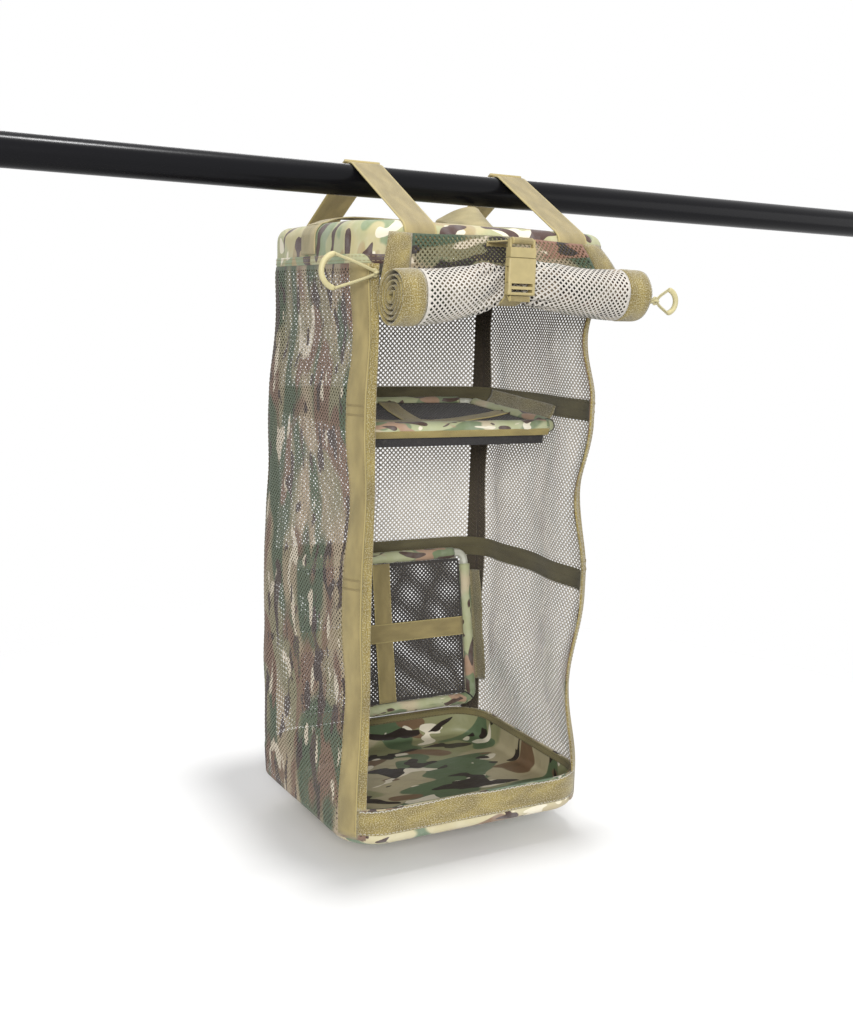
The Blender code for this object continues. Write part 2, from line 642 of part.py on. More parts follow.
def make_buckle():
    """A side-release buckle. The plug slides up out of the socket, and its two prongs bend in."""
    y, low = buckle_place()
    half_w, half_t = BUCKLE_WIDTH / 2, BUCKLE_THICKNESS / 2
    mouth = low + SOCKET_LENGTH

    bm = bmesh.new()
    block(bm, (-half_w, -half_t, low), (half_w, half_t, mouth))
    bmesh.ops.bevel(bm, geom=bm.edges[:], offset=BUCKLE_EDGE, segments=2, profile=0.5, affect="EDGES")
    socket = mesh_object("buckle_socket", bm, PLASTIC)
    socket.location = (RETAINER_X, y, 0)
    hollow = bmesh.new()
    inner_w = half_w - SOCKET_WALL
    inner_t = half_t - SOCKET_WALL
    floor = low + 3 * SOCKET_BAR + 2 * SOCKET_SLOT
    prong_tip = mouth + GAP - PRONG_LENGTH
    block(hollow, (-inner_w, -inner_t, floor), (inner_w, inner_t, mouth + 0.01))
    cavity = cutter_from(hollow, "buckle_cavity")
    cavity.parent = socket
    windows = bmesh.new()
    window_low = prong_tip - 3 * GAP
    window_high = prong_tip + PRONG_HEAD_LENGTH + PRONG_CATCH_ROOM
    block(windows, (-2 * half_w, -inner_t, window_low), (2 * half_w, inner_t, window_high))
    window = cutter_from(windows, "buckle_windows")
    window.parent = socket
    slots = bmesh.new()
    for k in range(2):
        bottom = low + SOCKET_BAR + k * (SOCKET_BAR + SOCKET_SLOT)
        half = RETAINER_WIDTH / 2 + GAP
        block(slots, (-half, -2 * half_t, bottom), (half, 2 * half_t, bottom + SOCKET_SLOT))
    slot = cutter_from(slots, "buckle_slots")
    slot.parent = socket
    for cutter in (cavity, window, slot):
        cut(socket, cutter)

    carrier = bpy.data.objects.new("plug_carrier", None)
    PARTS.objects.link(carrier)
    carrier.location = (RETAINER_X, y, mouth + GAP)
    plug_top = PLUG_BASE_LENGTH + PLUG_SLOT + PLUG_BAR
    plug_w = half_w - PLUG_INSET
    thick = (-plug_w, -half_t, 0), (plug_w, half_t, PLUG_BASE_LENGTH)
    thin = (-plug_w, -half_t / 2, PLUG_BASE_LENGTH / 2), (plug_w, half_t / 2, plug_top)
    plug = joined_blocks("buckle_plug", thick, thin, PLASTIC, carrier)
    slots = bmesh.new()
    half = RETAINER_WIDTH / 2 + GAP
    block(slots, (-half, -2 * half_t, PLUG_BASE_LENGTH), (half, 2 * half_t, PLUG_BASE_LENGTH + PLUG_SLOT))
    slot = cutter_from(slots, "plug_slot")
    slot.parent = carrier
    cut(plug, slot)

    prong_t = inner_t - 2 * GAP
    for side, sign in (("left", -1), ("right", 1)):
        arm = (-PRONG_WIDTH / 2, -prong_t, -PRONG_LENGTH), (PRONG_WIDTH / 2, prong_t, -GAP)
        inner, outer = sorted((0, sign * (PRONG_WIDTH / 2 + PRONG_HEAD)))
        head_low, head_high = -PRONG_LENGTH - GAP, -PRONG_LENGTH + PRONG_HEAD_LENGTH
        head = (inner, -prong_t + GAP, head_low), (outer, prong_t - GAP, head_high)
        prong = joined_blocks(side + "_buckle_prong", arm, head, PLASTIC, carrier)
        prong.location.x = sign * PRONG_SPREAD
    make_retainer_strap(y, low, carrier)


def joined_blocks(name, first, second, finish, parent):
    """Two overlapping boxes joined into one body. Each is a pair of corners."""
    bm = bmesh.new()
    block(bm, *first)
    obj = mesh_object(name, bm, finish, parent)
    other = bmesh.new()
    block(other, *second)
    rest = cutter_from(other, name + "_rest")
    rest.parent = obj
    step = obj.modifiers.new("join", "BOOLEAN")
    step.operation = "UNION"
    step.object = rest
    return obj


def make_retainer_strap(y, low, carrier):
    """The webbing that holds the roll: a short end from the cap to the plug, and a long end from
    the seam down behind the roll, under it and up to the socket."""
    across = Vector((1, 0, 0))
    wall = -(BODY_DEPTH / 2 + GAP + STRAP_THICKNESS / 2)
    bar_z = PLUG_BASE_LENGTH + PLUG_SLOT + PLUG_BAR / 2
    half_y = BUCKLE_THICKNESS / 4 + GAP + STRAP_THICKNESS / 2
    half_z = PLUG_BAR / 2 + GAP + STRAP_THICKNESS / 2
    make_strap_loop(half_y, half_z, bar_z, carrier)

    z = carrier.location.z + bar_z
    end_y = y + BUCKLE_THICKNESS / 2 + 2 * GAP
    sewn = SEAM_Z + RETAINER_SEAM_RISE
    path = [(wall, sewn), (wall, sewn + RETAINER_SEWN), (wall - RETAINER_SEAM_RISE, z), (end_y, z)]
    points = [Vector((RETAINER_X, a, b)) for a, b in path]
    ribbon("retainer_strap_upper", points, across, RETAINER_WIDTH, STRAP_THICKNESS, KHAKI)

    scale, lift = roll_shape(RETAINER_X)
    edge_scale, edge_lift = roll_shape(RETAINER_X + RETAINER_WIDTH / 2)
    under = ROLL_RADIUS * edge_scale + lift - edge_lift + MESH_THICKNESS / 2
    radius = under + 3 * GAP + STRAP_THICKNESS / 2
    centre = Vector((RETAINER_X, roll_back_y() - ROLL_RADIUS * scale, SEAM_Z - ROLL_DROP + lift))
    seam_y = -(BODY_DEPTH / 2 - 2 * MESH_THICKNESS - STRAP_THICKNESS)
    points = [Vector((RETAINER_X, seam_y, SEAM_Z - GAP))]
    back = seam_y - centre.y
    for k in range(8):
        turn = -math.pi * k / 8
        wide = back if k < 4 else radius
        points.append(centre + Vector((0, wide * math.cos(turn), radius * math.sin(turn))))
    points.append(Vector((RETAINER_X, y, low - RETAINER_TUCK)))
    points.append(Vector((RETAINER_X, y, low - 2 * GAP)))
    ribbon("retainer_strap_lower", points, across, RETAINER_WIDTH, STRAP_THICKNESS, KHAKI)


def make_strap_loop(half_y, half_z, height, carrier):
    """The sewn loop of webbing round the plug's bar."""
    turn = Matrix.Rotation(math.pi / 2, 4, "Y") @ Matrix.Rotation(math.pi / 4, 4, "Z")
    side = math.sqrt(2)
    bm = bmesh.new()
    bmesh.ops.create_cone(
        bm, cap_ends=False, segments=4, depth=RETAINER_WIDTH, radius1=side, radius2=side, matrix=turn,
    )
    for point in bm.verts:
        point.co.y *= half_y
        point.co.z = height + point.co.z * half_z
    obj = mesh_object("retainer_strap_loop", bm, KHAKI, carrier)
    thicken(obj, STRAP_THICKNESS, 0.0)


def make_pull_loops():
    """Stiff cord loops with a thick grip: one hangs at the door's left seam, one at the roll's
    right end. Both lie flat to the front."""
    half_w = BODY_WIDTH / 2 - CORNER_RADIUS
    half_d = BODY_DEPTH / 2 - CORNER_RADIUS
    turn = math.asin((OPENING_HALF_WIDTH - half_w) / CORNER_RADIUS) + EDGE_TAPE_WIDTH / 4 / CORNER_RADIUS
    reach = CORNER_RADIUS + TAPE_THICKNESS + LOOP_KNOT + GAP
    left = Vector((-half_w - reach * math.sin(turn), -half_d - reach * math.cos(turn), 0))
    left.z = SEAM_Z - LEFT_LOOP_BELOW_SEAM
    make_pull_loop("left", left, -1, LEFT_LOOP_LENGTH, LEFT_LOOP_RADIUS)
    right = door_point(1.0, 0.5) + Vector((LOOP_KNOT + GAP, 0, 0))
    make_pull_loop("right", right, 1, RIGHT_LOOP_LENGTH, RIGHT_LOOP_RADIUS)


def make_pull_loop(side, knot, sign, length, radius):
    carrier = bpy.data.objects.new(side + "_pull_carrier", None)
    PARTS.objects.link(carrier)
    carrier.location = knot
    centre = Vector((sign * (length - radius), 0, 0))
    grip = arc(centre, radius, 80, -80, 10, "XZ")
    if sign < 0:
        grip = [Vector((2 * centre.x - p.x, 0, p.z)) for p in grip]
    ends = []
    for end, near in ((grip[0], grip[1]), (grip[-1], grip[-2])):
        heading = (end - near).normalized()
        start = end + heading * 2 * GAP
        ends.append([start, start + heading * LOOP_CORD, start.lerp(Vector((0, 0, 0)), 0.6)])
    strand = [*ends[0], Vector((0, 0, 0)), *reversed(ends[1])]
    tube_curve(side + "_pull_grip", grip, LOOP_GRIP, CORD, carrier)
    cord = meshed(tube_curve(side + "_pull_cord", strand, LOOP_CORD, CORD, carrier))
    bm = bmesh.new()
    bmesh.ops.create_uvsphere(bm, u_segments=10, v_segments=6, radius=LOOP_KNOT)
    for point in bm.verts:
        point.co.z *= 0.8
    knot_ball = cutter_from(bm, side + "_pull_knot")
    knot_ball.parent = carrier
    step = cord.modifiers.new("knot", "BOOLEAN")
    step.operation = "UNION"
    step.object = knot_ball


def make_shelf(level, hinge_z, droop, sag):
    """One shelf, made in its own frame: the hinge line is its X axis and it reaches out to -Y."""
    carrier = bpy.data.objects.new(level + "_shelf_hinge", None)
    PARTS.objects.link(carrier)
    carrier.location = (0, HINGE_Y, hinge_z)
    carrier.rotation_euler.x = math.radians(droop)
    reach, half, radius = SHELF_REACH, SHELF_HALF_SPAN, SLEEVE_DIAMETER / 2

    ring = []
    bend = 90 / ROD_BEND_STEPS
    for x, y, first in ((half, 0, 90), (half, -reach, 0), (-half, -reach, -90), (-half, 0, -180)):
        ring += rod_corner(x, y, first, first - 90, ROD_BEND_STEPS)
    tube_curve(level + "_shelf_rod", ring, ROD_DIAMETER, ROD, carrier, closed=True)

    front = rod_corner(-half, -reach, -90 - 2 * bend, -90, 2)
    front += rod_corner(half, -reach, -90, -90 + 2 * bend, 2)
    make_sleeve(level + "_shelf_front_sleeve", front, carrier)
    flat = BODY_WIDTH / 2 - CORNER_RADIUS - 2 * GAP
    rear = [Vector((x, 0, 0)) for x in (half, flat, -flat, -half)]
    make_sleeve(level + "_shelf_rear_sleeve", rear, carrier)
    right = rod_corner(half, -reach, -2 * bend, 0, 2)
    right += [Vector((half, -(ROD_CORNER_RADIUS + SLEEVE_REAR_GAP), 0)), Vector((half, 0, 0))]
    left = [Vector((-p.x, p.y, 0)) for p in reversed(right)]
    make_sleeve(level + "_shelf_left_sleeve", left, carrier)
    make_sleeve(level + "_shelf_right_sleeve", right, carrier)
    for side, sign in (("left", -1), ("right", 1)):
        make_side_flap(f"{level}_shelf_{side}_flap", sign, carrier)

    make_shelf_mesh(level, sag, carrier)
    strip_top = -(radius + GAP)
    half_strip = FLAP_THICKNESS / 2
    half_x = half - ROD_CORNER_RADIUS
    bm = bmesh.new()
    low = (-half_x, -reach - half_strip, strip_top - HOOK_STRIP_HEIGHT)
    block(bm, low, (half_x, -reach + half_strip, strip_top))
    mesh_object(level + "_shelf_hook_strip", bm, BLACK, carrier)
    make_corner_loop(level + "_shelf_corner_loop", carrier)


def rod_corner(x, y, start, end, steps):
    """Points of the rod's bend at one corner of the shelf, from start to end in degrees."""
    cx = x - math.copysign(ROD_CORNER_RADIUS, x)
    cy = y + (ROD_CORNER_RADIUS if y < 0 else -ROD_CORNER_RADIUS)
    points = []
    for k in range(steps + 1):
        turn = math.radians(start + (end - start) * k / steps)
        offset = Vector((math.cos(turn), math.sin(turn), 0)) * ROD_CORNER_RADIUS
        points.append(Vector((cx, cy, 0)) + offset)
    return points


def make_sleeve(name, path, carrier):
    """A fabric sleeve sewn shut round the rod, from the second point of path to the last but one.
    Its seam faces the shelf's mesh."""
    around = 14

    def place(k, j):
        i = k + 1
        one, two = path[i] - path[i - 1], path[i + 1] - path[i]
        along = (one.normalized() + two.normalized()).normalized()
        inward = Vector((-along.y, along.x, 0))
        turn = math.radians(SLEEVE_SEAM + (360 - 2 * SLEEVE_SEAM) * j / around)
        radial = inward * math.cos(turn) + Vector((0, 0, math.sin(turn)))
        return path[i] + radial * SLEEVE_DIAMETER / 2

    wall = (SLEEVE_DIAMETER - ROD_DIAMETER) / 2 - 2 * GAP
    sheet(name, len(path) - 3, around, place, wall, CAMO, Vector((0, 0, 1)), carrier)


def make_shelf_mesh(level, sag, carrier):
    """The mesh between the sleeves, and on top of it two webbings sewn across each other."""
    edge = SLEEVE_DIAMETER / 2 + 2 * GAP
    half_x, half_y = SHELF_HALF_SPAN - edge, SHELF_REACH / 2 - edge
    middle = -SHELF_REACH / 2

    def stops(half, count):
        inner = half - SHELF_MESH_MARGIN
        return [-half, *(inner * (2 * k / count - 1) for k in range(count + 1)), half]

    def height(x, y):
        return -sag * (1 - (x / half_x) ** 2) * (1 - ((y - middle) / half_y) ** 2)

    xs, ys = stops(half_x, 8), stops(half_y, 6)

    def place(i, j):
        x, y = xs[i], ys[j]
        if abs(x) == half_x and abs(y) == half_y:
            x -= math.copysign(SHELF_MESH_CORNER, x)
            y -= math.copysign(SHELF_MESH_CORNER, y)
        return Vector((x, middle + y, height(x, middle + y)))

    sheet(level + "_shelf_mesh", len(xs) - 1, len(ys) - 1, place, MESH_THICKNESS, MESH, parent=carrier)
    lift = MESH_THICKNESS / 2 + 2 * GAP + STRAP_THICKNESS / 2
    lengthwise = [Vector((0, middle + y, height(0, middle + y) + lift)) for y in ys]
    over = lift + STRAP_THICKNESS / 2
    crosswise = [Vector((x, middle, height(x, middle) + over)) for x in xs]
    name = level + "_shelf_webbing_cross"
    width = SHELF_WEBBING_WIDTH
    cross = ribbon(name, lengthwise, Vector((1, 0, 0)), width, STRAP_THICKNESS, KHAKI, carrier)
    second = ribbon(name + "_rest", crosswise, Vector((0, 1, 0)), width, STRAP_THICKNESS, KHAKI, carrier)
    PARTS.objects.unlink(second)
    CUTTERS.objects.link(second)
    second.hide_render = True
    second.display_type = "WIRE"
    step = cross.modifiers.new("join", "BOOLEAN")
    step.operation = "UNION"
    step.object = second


def make_side_flap(name, sign, carrier):
    """The hook-tape flap along one side. It leans out to the wall band above the sleeve."""
    inner = SHELF_HALF_SPAN + SLEEVE_DIAMETER / 2 + 2 * GAP
    profile = [
        (0, 0),
        (FLAP_SEAM, FLAP_SEAM * 2 / 3),
        (0.7 * FLAP_LEAN, 0.5 * FLAP_TURN_UP),
        (FLAP_LEAN, FLAP_TURN_UP),
    ]

    def place(i, j):
        x, z = profile[i]
        return Vector((sign * (inner + x), -SHELF_REACH / 2 + FLAP_LENGTH * (j - 0.5), z))

    sheet(name, len(profile) - 1, 1, place, FLAP_THICKNESS, VELVET, parent=carrier)


def make_corner_loop(name, carrier):
    """A small cord loop round the rod at its right front corner."""
    ring_radius = ROD_DIAMETER / 2 + 2 * GAP + CORNER_LOOP_CORD / 2
    outward = Vector((1, -1, 0)).normalized()
    middle = Vector((SHELF_HALF_SPAN - ROD_CORNER_RADIUS, -SHELF_REACH + ROD_CORNER_RADIUS, 0))
    centre = middle + outward * ROD_CORNER_RADIUS
    points = []
    for k in range(12):
        angle = 2 * math.pi * k / 12
        points.append(centre + (outward * math.cos(angle) + Vector((0, 0, math.sin(angle)))) * ring_radius)
    tube_curve(name, points, CORNER_LOOP_CORD, BLACK, carrier, closed=True)


clear_scene()
PARTS = new_collection("camp_storage_shelf")
CUTTERS = new_collection("cutters")
CUTTERS.hide_render = True
make_cap_and_tray()
make_walls()
make_hanging_straps()
make_carry_handle()
make_door()
make_buckle()
make_pull_loops()
make_shelf("upper", UPPER_HINGE_Z, UPPER_SHELF_DROOP, UPPER_SHELF_SAG)
make_shelf("lower", LOWER_HINGE_Z, LOWER_SHELF_DROOP, LOWER_SHELF_SAG)
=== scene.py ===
"""Dresses the camp storage shelf.

The shelf hangs from a bar by two straps. A padded cap and a tray are joined by three mesh walls,
two shelves fold down inside, and the mesh door is rolled up under the cap.
"""

import json
import logging
import math
from collections.abc import Callable, Sequence
from dataclasses import dataclass, field, replace
from enum import Enum

import bpy
import numpy as np
from mathutils import Matrix, Vector


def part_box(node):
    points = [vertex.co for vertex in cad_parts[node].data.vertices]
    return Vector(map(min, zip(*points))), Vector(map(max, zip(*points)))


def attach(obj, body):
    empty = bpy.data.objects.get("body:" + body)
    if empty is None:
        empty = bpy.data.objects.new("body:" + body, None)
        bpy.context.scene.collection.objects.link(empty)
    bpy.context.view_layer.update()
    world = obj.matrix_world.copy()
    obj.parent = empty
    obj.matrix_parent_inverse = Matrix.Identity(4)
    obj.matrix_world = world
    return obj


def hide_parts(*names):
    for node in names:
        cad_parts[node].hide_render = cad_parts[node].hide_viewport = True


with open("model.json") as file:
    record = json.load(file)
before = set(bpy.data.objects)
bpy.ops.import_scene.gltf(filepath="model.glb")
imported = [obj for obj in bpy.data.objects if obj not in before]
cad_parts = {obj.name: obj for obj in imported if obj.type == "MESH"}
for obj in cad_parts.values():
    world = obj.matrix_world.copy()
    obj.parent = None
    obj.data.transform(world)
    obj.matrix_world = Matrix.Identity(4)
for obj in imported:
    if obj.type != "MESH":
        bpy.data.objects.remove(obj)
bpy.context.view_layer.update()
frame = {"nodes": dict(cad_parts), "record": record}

LOG = logging.getLogger("camp_shelf")
Colour = tuple[float, float, float]
Array = np.ndarray
Socket = bpy.types.NodeSocket
Material = bpy.types.Material


class Slot(Enum):
    """The record's material slots that the pieces made here belong to."""

    WEBBING = "khaki_webbing"
    LOOP_TAPE = "loop_tape"
    CAMO = "camo_fabric"
    MESH = "mesh_fabric"
    LAMINATE = "camo_laminate"
    HOOK_TAPE = "black_hook_tape"
    CORD = "pull_cord"


class Face(Enum):
    """Which side of a cloth a point lies on."""

    OUTER = 0
    INNER = 1


def shade(red: int, green: int, blue: int) -> Colour:
    """A colour read off a screen, 0 to 255, as the linear values that a shader takes."""
    tones = red, green, blue
    return tuple(((c / 255 + 0.055) / 1.055) ** 2.4 if c > 10 else c / 3294.6 for c in tones)


def palette(*tones: tuple[int, int, int]) -> dict[str, Colour]:
    """A print's ground, second, green, brown, dark and cream tones, as far as they are given."""
    names = "ground", "second", "green", "brown", "dark", "cream"
    return {name: shade(*tone) for name, tone in zip(names, tones)}


def unit(vectors: Array) -> Array:
    """Rows scaled to a length of one."""
    return vectors / np.maximum(np.linalg.norm(vectors, axis=-1, keepdims=True), 1e-12)


def smooth_path(points: Sequence[Sequence[float]], steps: int) -> Array:
    """Runs a smooth curve through points.

    Args:
        points: What the curve goes through, each with any number of values.
        steps: How many pieces each gap between two points is cut into.

    Returns:
        The curve's own points, one row each.
    """
    knots = np.array(points, float)
    padded = np.vstack([2 * knots[0] - knots[1], knots, 2 * knots[-1] - knots[-2]])
    rows = []
    for a, b, c, d in zip(padded, padded[1:], padded[2:], padded[3:]):
        square, cube = 2 * a - 5 * b + 4 * c - d, 3 * b - a - 3 * c + d
        for t in np.arange(steps) / steps:
            rows.append(0.5 * (2 * b + (c - a) * t + square * t**2 + cube * t**3))
    rows.append(knots[-1])
    return np.array(rows)


def ripple(a: Array, b: Array, seed: float) -> Array:
    """A gentle unevenness between -1 and 1 over two directions given in radians."""
    waves = np.sin(1.0 * a + 0.7 * b + seed) + 0.7 * np.sin(1.9 * a - 1.3 * b + 2.1 * seed)
    return (waves + 0.5 * np.sin(0.8 * a + 2.7 * b + 3.7 * seed)) / 2.2


def joined(*parts: object) -> Array:
    """Arrays spread to one shape and set side by side along a last direction."""
    return np.stack(np.broadcast_arrays(*parts), -1)


def gone_along(path: Array) -> Array:
    """How far along a path each of its points lies."""
    return np.concatenate([[0], np.cumsum(np.linalg.norm(np.diff(path, axis=0), axis=1))])


def circle(count: int) -> Array:
    """Evenly spaced angles once round, in radians."""
    return np.linspace(0, 2 * math.pi, count, endpoint=False)


def spokes(one: Array, two: Array, turn: Array) -> Array:
    """Directions at angles of turn, from each row of one towards that row of two."""
    return one[..., None, :] * np.cos(turn)[:, None] + two[..., None, :] * np.sin(turn)[:, None]


def stand(name: str, data: bpy.types.ID) -> bpy.types.Object:
    """Makes an object and puts it in the scene."""
    obj = bpy.data.objects.new(name, data)
    bpy.context.scene.collection.objects.link(obj)
    return obj


class Sketch:
    """One material's nodes, made a call at a time."""

    def __init__(self, name: str) -> None:
        """Starts a material that holds only its surface shader."""
        self.material = bpy.data.materials.new(name)
        self.material.use_nodes = True
        self.tree = self.material.node_tree
        self.shader = self.tree.nodes["Principled BSDF"]

    def node(self, kind: str, values: dict | None = None, **settings: object) -> bpy.types.Node:
        """Adds a node.

        Args:
            kind: The node's type, without its leading ShaderNode.
            values: What goes into its inputs, by name or number. A socket is linked.
            settings: Its own options.

        Returns:
            The node.
        """
        made = self.tree.nodes.new("ShaderNode" + kind)
        for key, value in settings.items():
            setattr(made, key, value)
        for key, value in (values or {}).items():
            self.feed(made.inputs[key], value)
        return made

    def feed(self, socket: Socket, value: object) -> None:
        """Links value into socket if it is a socket, and sets it there if not."""
        if isinstance(value, Socket):
            self.tree.links.new(value, socket)
        elif isinstance(value, tuple) and len(value) == 3 and socket.type == "RGBA":
            socket.default_value = (*value, 1.0)
        else:
            socket.default_value = value

    def cloth(self, turn: float = 0.0, shift: float = 0.0) -> Socket:
        """Where a point lies on the cloth as cut, in metres.

        Args:
            turn: How far the cloth is turned under its print, in degrees.
            shift: How far the print is moved, in metres.

        Returns:
            The place as a vector.
        """
        flat = self.node("UVMap", uv_map="cloth").outputs["UV"]
        values = {"Vector": flat, "Rotation": (0.0, 0.0, math.radians(turn))}
        return self.node("Mapping", values | {"Location": (shift, 0.7 * shift, 0.0)}).outputs[0]

    def solid(self) -> Socket:
        """Where a point lies in the part's own space, in metres."""
        return self.node("TexCoord").outputs["Object"]

    def scaled(self, place: Socket, by: Sequence[float]) -> Socket:
        """A place with each of its directions scaled."""
        return self.node("Mapping", {"Vector": place, "Scale": tuple(by)}).outputs[0]

    def noise(self, place: Socket, scale: float, detail: float = 2.0, ragged: float = 0.0) -> Socket:
        """Cloudy noise from 0 to 1, with scale clouds to the metre."""
        values = {"Vector": place, "Scale": scale, "Detail": detail, "Distortion": ragged}
        return self.node("TexNoise", values).outputs[0]

    def ramp(self, value: Socket, low: float, high: float) -> Socket:
        """A soft step from 0 at low to 1 at high."""
        values = {"Value": value, "From Min": low, "From Max": high}
        return self.node("MapRange", values, interpolation_type="SMOOTHSTEP").outputs[0]

    def spread(self, value: Socket, low: float, high: float) -> Socket:
        """0 to 1 spread over low to high."""
        return self.node("MapRange", {"Value": value, "To Min": low, "To Max": high}).outputs[0]

    def math(self, kind: str, one: object, two: object = 0.0) -> Socket:
        """One sum on two values."""
        return self.node("Math", {0: one, 1: two}, operation=kind).outputs[0]

    def wave(self, value: Socket, length: float) -> Socket:
        """A sine wave of one length along a value, from -1 to 1."""
        return self.math("SINE", self.math("MULTIPLY", value, 2 * math.pi / length))

    def heap(self, one: object, much: float, two: object, more: float) -> Socket:
        """Two heights added up, each with its own share."""
        return self.math("ADD", self.math("MULTIPLY", one, much), self.math("MULTIPLY", two, more))

    def mix(self, share: object, one: object, two: object) -> Socket:
        """Two colours mixed by share, which is 0 for the first."""
        made = self.node("Mix", data_type="RGBA")
        for socket, value in ((made.inputs[0], share), (made.inputs[6], one), (made.inputs[7], two)):
            self.feed(socket, value)
        return made.outputs[2]

    def axis(self, place: Socket, name: str) -> Socket:
        """One direction of a place, X, Y or Z."""
        return self.node("SeparateXYZ", {0: place}).outputs[name]

    def surface(
        self, colour: object, rough: object, height: object, depth: float, **more: float
    ) -> Material:
        """Finishes the material.

        Args:
            colour: Its colour, plain or from a node.
            rough: Its roughness, plain or from a node.
            height: The height that makes its bumps, from 0 to 1.
            depth: How deep those bumps are, in metres.
            more: Plain values for other inputs of the shader, with _ for a space.

        Returns:
            The finished material.
        """
        self.feed(self.shader.inputs["Base Color"], colour)
        self.feed(self.shader.inputs["Roughness"], rough)
        bump = self.node("Bump", {"Height": height, "Strength": 1.0, "Distance": depth})
        self.feed(self.shader.inputs["Normal"], bump.outputs[0])
        for key, value in more.items():
            self.shader.inputs[key.replace("_", " ")].default_value = value
        return self.material


@dataclass(frozen=True)
class CamoPrint:
    """A generic camouflage print: long soft blots over a two-tone ground, then small ragged streaks."""

    ground: Colour = shade(204, 194, 156)
    second: Colour = shade(170, 176, 136)
    green: Colour = shade(104, 124, 96)
    brown: Colour = shade(138, 110, 84)
    dark: Colour = shade(66, 46, 40)
    cream: Colour = shade(236, 228, 204)
    blot: float = 0.046
    spot: float = 0.020
    stretch: float = 2.2
    ragged: float = 0.7
    softness: float = 0.010
    turn: float = 0.0
    shift: float = 0.0
    greenness: float = 0.57
    brownness: float = 0.60
    darkness: float = 0.63
    paleness: float = 0.64

    def paint(self, sketch: Sketch) -> Socket:
        """Lays the print's layers over each other.

        Args:
            sketch: The material that the print goes on.

        Returns:
            The printed colour.
        """
        place = sketch.cloth(self.turn, self.shift)
        colour: object = self.ground
        layers = (
            (self.second, self.blot * 1.5, 0.50, 0.0, 4.0),
            (self.green, self.blot, self.greenness, 3.1, 1.5),
            (self.brown, self.blot * 0.8, self.brownness, 7.3, 1.5),
            (self.cream, self.spot * 1.1, self.paleness, 11.9, 0.7),
            (self.dark, self.spot, self.darkness, 17.7, 0.6),
        )
        for tone, size, level, offset, blur in layers:
            values = {"Vector": place, "Scale": (1 / self.stretch, 1.0, 1.0)}
            values["Location"] = offset, 1.3 * offset, offset
            moved = sketch.node("Mapping", values).outputs[0]
            cloud = sketch.noise(moved, 1 / size, 1.0, self.ragged)
            soft = self.softness * blur
            colour = sketch.mix(sketch.ramp(cloud, level - soft, level + soft), colour, tone)
        return colour


@dataclass(frozen=True)
class WovenCloth:
    """Printed plain-woven cloth, as on the cap, the tray's outside and the shelf sleeves."""

    name: str
    camo: CamoPrint = CamoPrint()
    thread: float = 0.0009
    rough: float = 0.72

    def material(self) -> Material:
        """The print with a fine weave and faint creases."""
        sketch = Sketch(self.name)
        place = sketch.cloth()
        colour = self.camo.paint(sketch)
        warp, weft = (sketch.wave(sketch.axis(place, name), self.thread) for name in "XY")
        weave = sketch.spread(sketch.math("MULTIPLY", warp, weft), 0.35, 0.65)
        worn = sketch.noise(place, 60.0, 4.0)
        faded = sketch.mix(0.12, colour, (1.0, 1.0, 1.0))
        colour = sketch.mix(sketch.ramp(worn, 0.35, 0.8), colour, faded)
        height = sketch.heap(weave, 0.35, worn, 0.65)
        rough = sketch.spread(worn, self.rough - 0.1, self.rough + 0.1)
        return sketch.surface(colour, rough, height, 0.0006, Sheen_Weight=0.15, Sheen_Roughness=0.5)


@dataclass(frozen=True)
class SmoothLaminate:
    """The tray liner's smooth printed laminate, a little glossy and softly crumpled."""

    name: str
    camo: CamoPrint

    def material(self) -> Material:
        """The print under a thin shiny film."""
        sketch = Sketch(self.name)
        place = sketch.cloth()
        colour = self.camo.paint(sketch)
        crumple = sketch.noise(sketch.scaled(place, (1.0, 1.6, 1.0)), 22.0, 3.0)
        grain = sketch.noise(place, 900.0, 1.0)
        height = sketch.heap(crumple, 0.95, grain, 0.05)
        rough = sketch.spread(crumple, 0.38, 0.58)
        return sketch.surface(colour, rough, height, 0.004, Coat_Weight=0.12, Coat_Roughness=0.35)


@dataclass(frozen=True)
class KnittedMesh:
    """One side of the knitted mesh: printed, or its own plain yarn."""

    name: str
    yarn: Colour
    camo: CamoPrint | None = None
    cover: float = 1.0

    def material(self) -> Material:
        """Matt yarn, with the print soaking into it where there is one."""
        sketch = Sketch(self.name)
        place = sketch.cloth()
        fuzz = sketch.noise(place, 1400.0, 2.0)
        uneven = sketch.noise(place, 35.0, 3.0)
        darker = tuple(0.86 * c for c in self.yarn)
        colour = sketch.mix(sketch.ramp(uneven, 0.3, 0.7), darker, self.yarn)
        if self.camo is not None:
            colour = sketch.mix(self.cover, colour, self.camo.paint(sketch))
        rough = sketch.spread(fuzz, 0.72, 0.92)
        return sketch.surface(colour, rough, fuzz, 0.0004, Sheen_Weight=0.12, Sheen_Roughness=0.6)


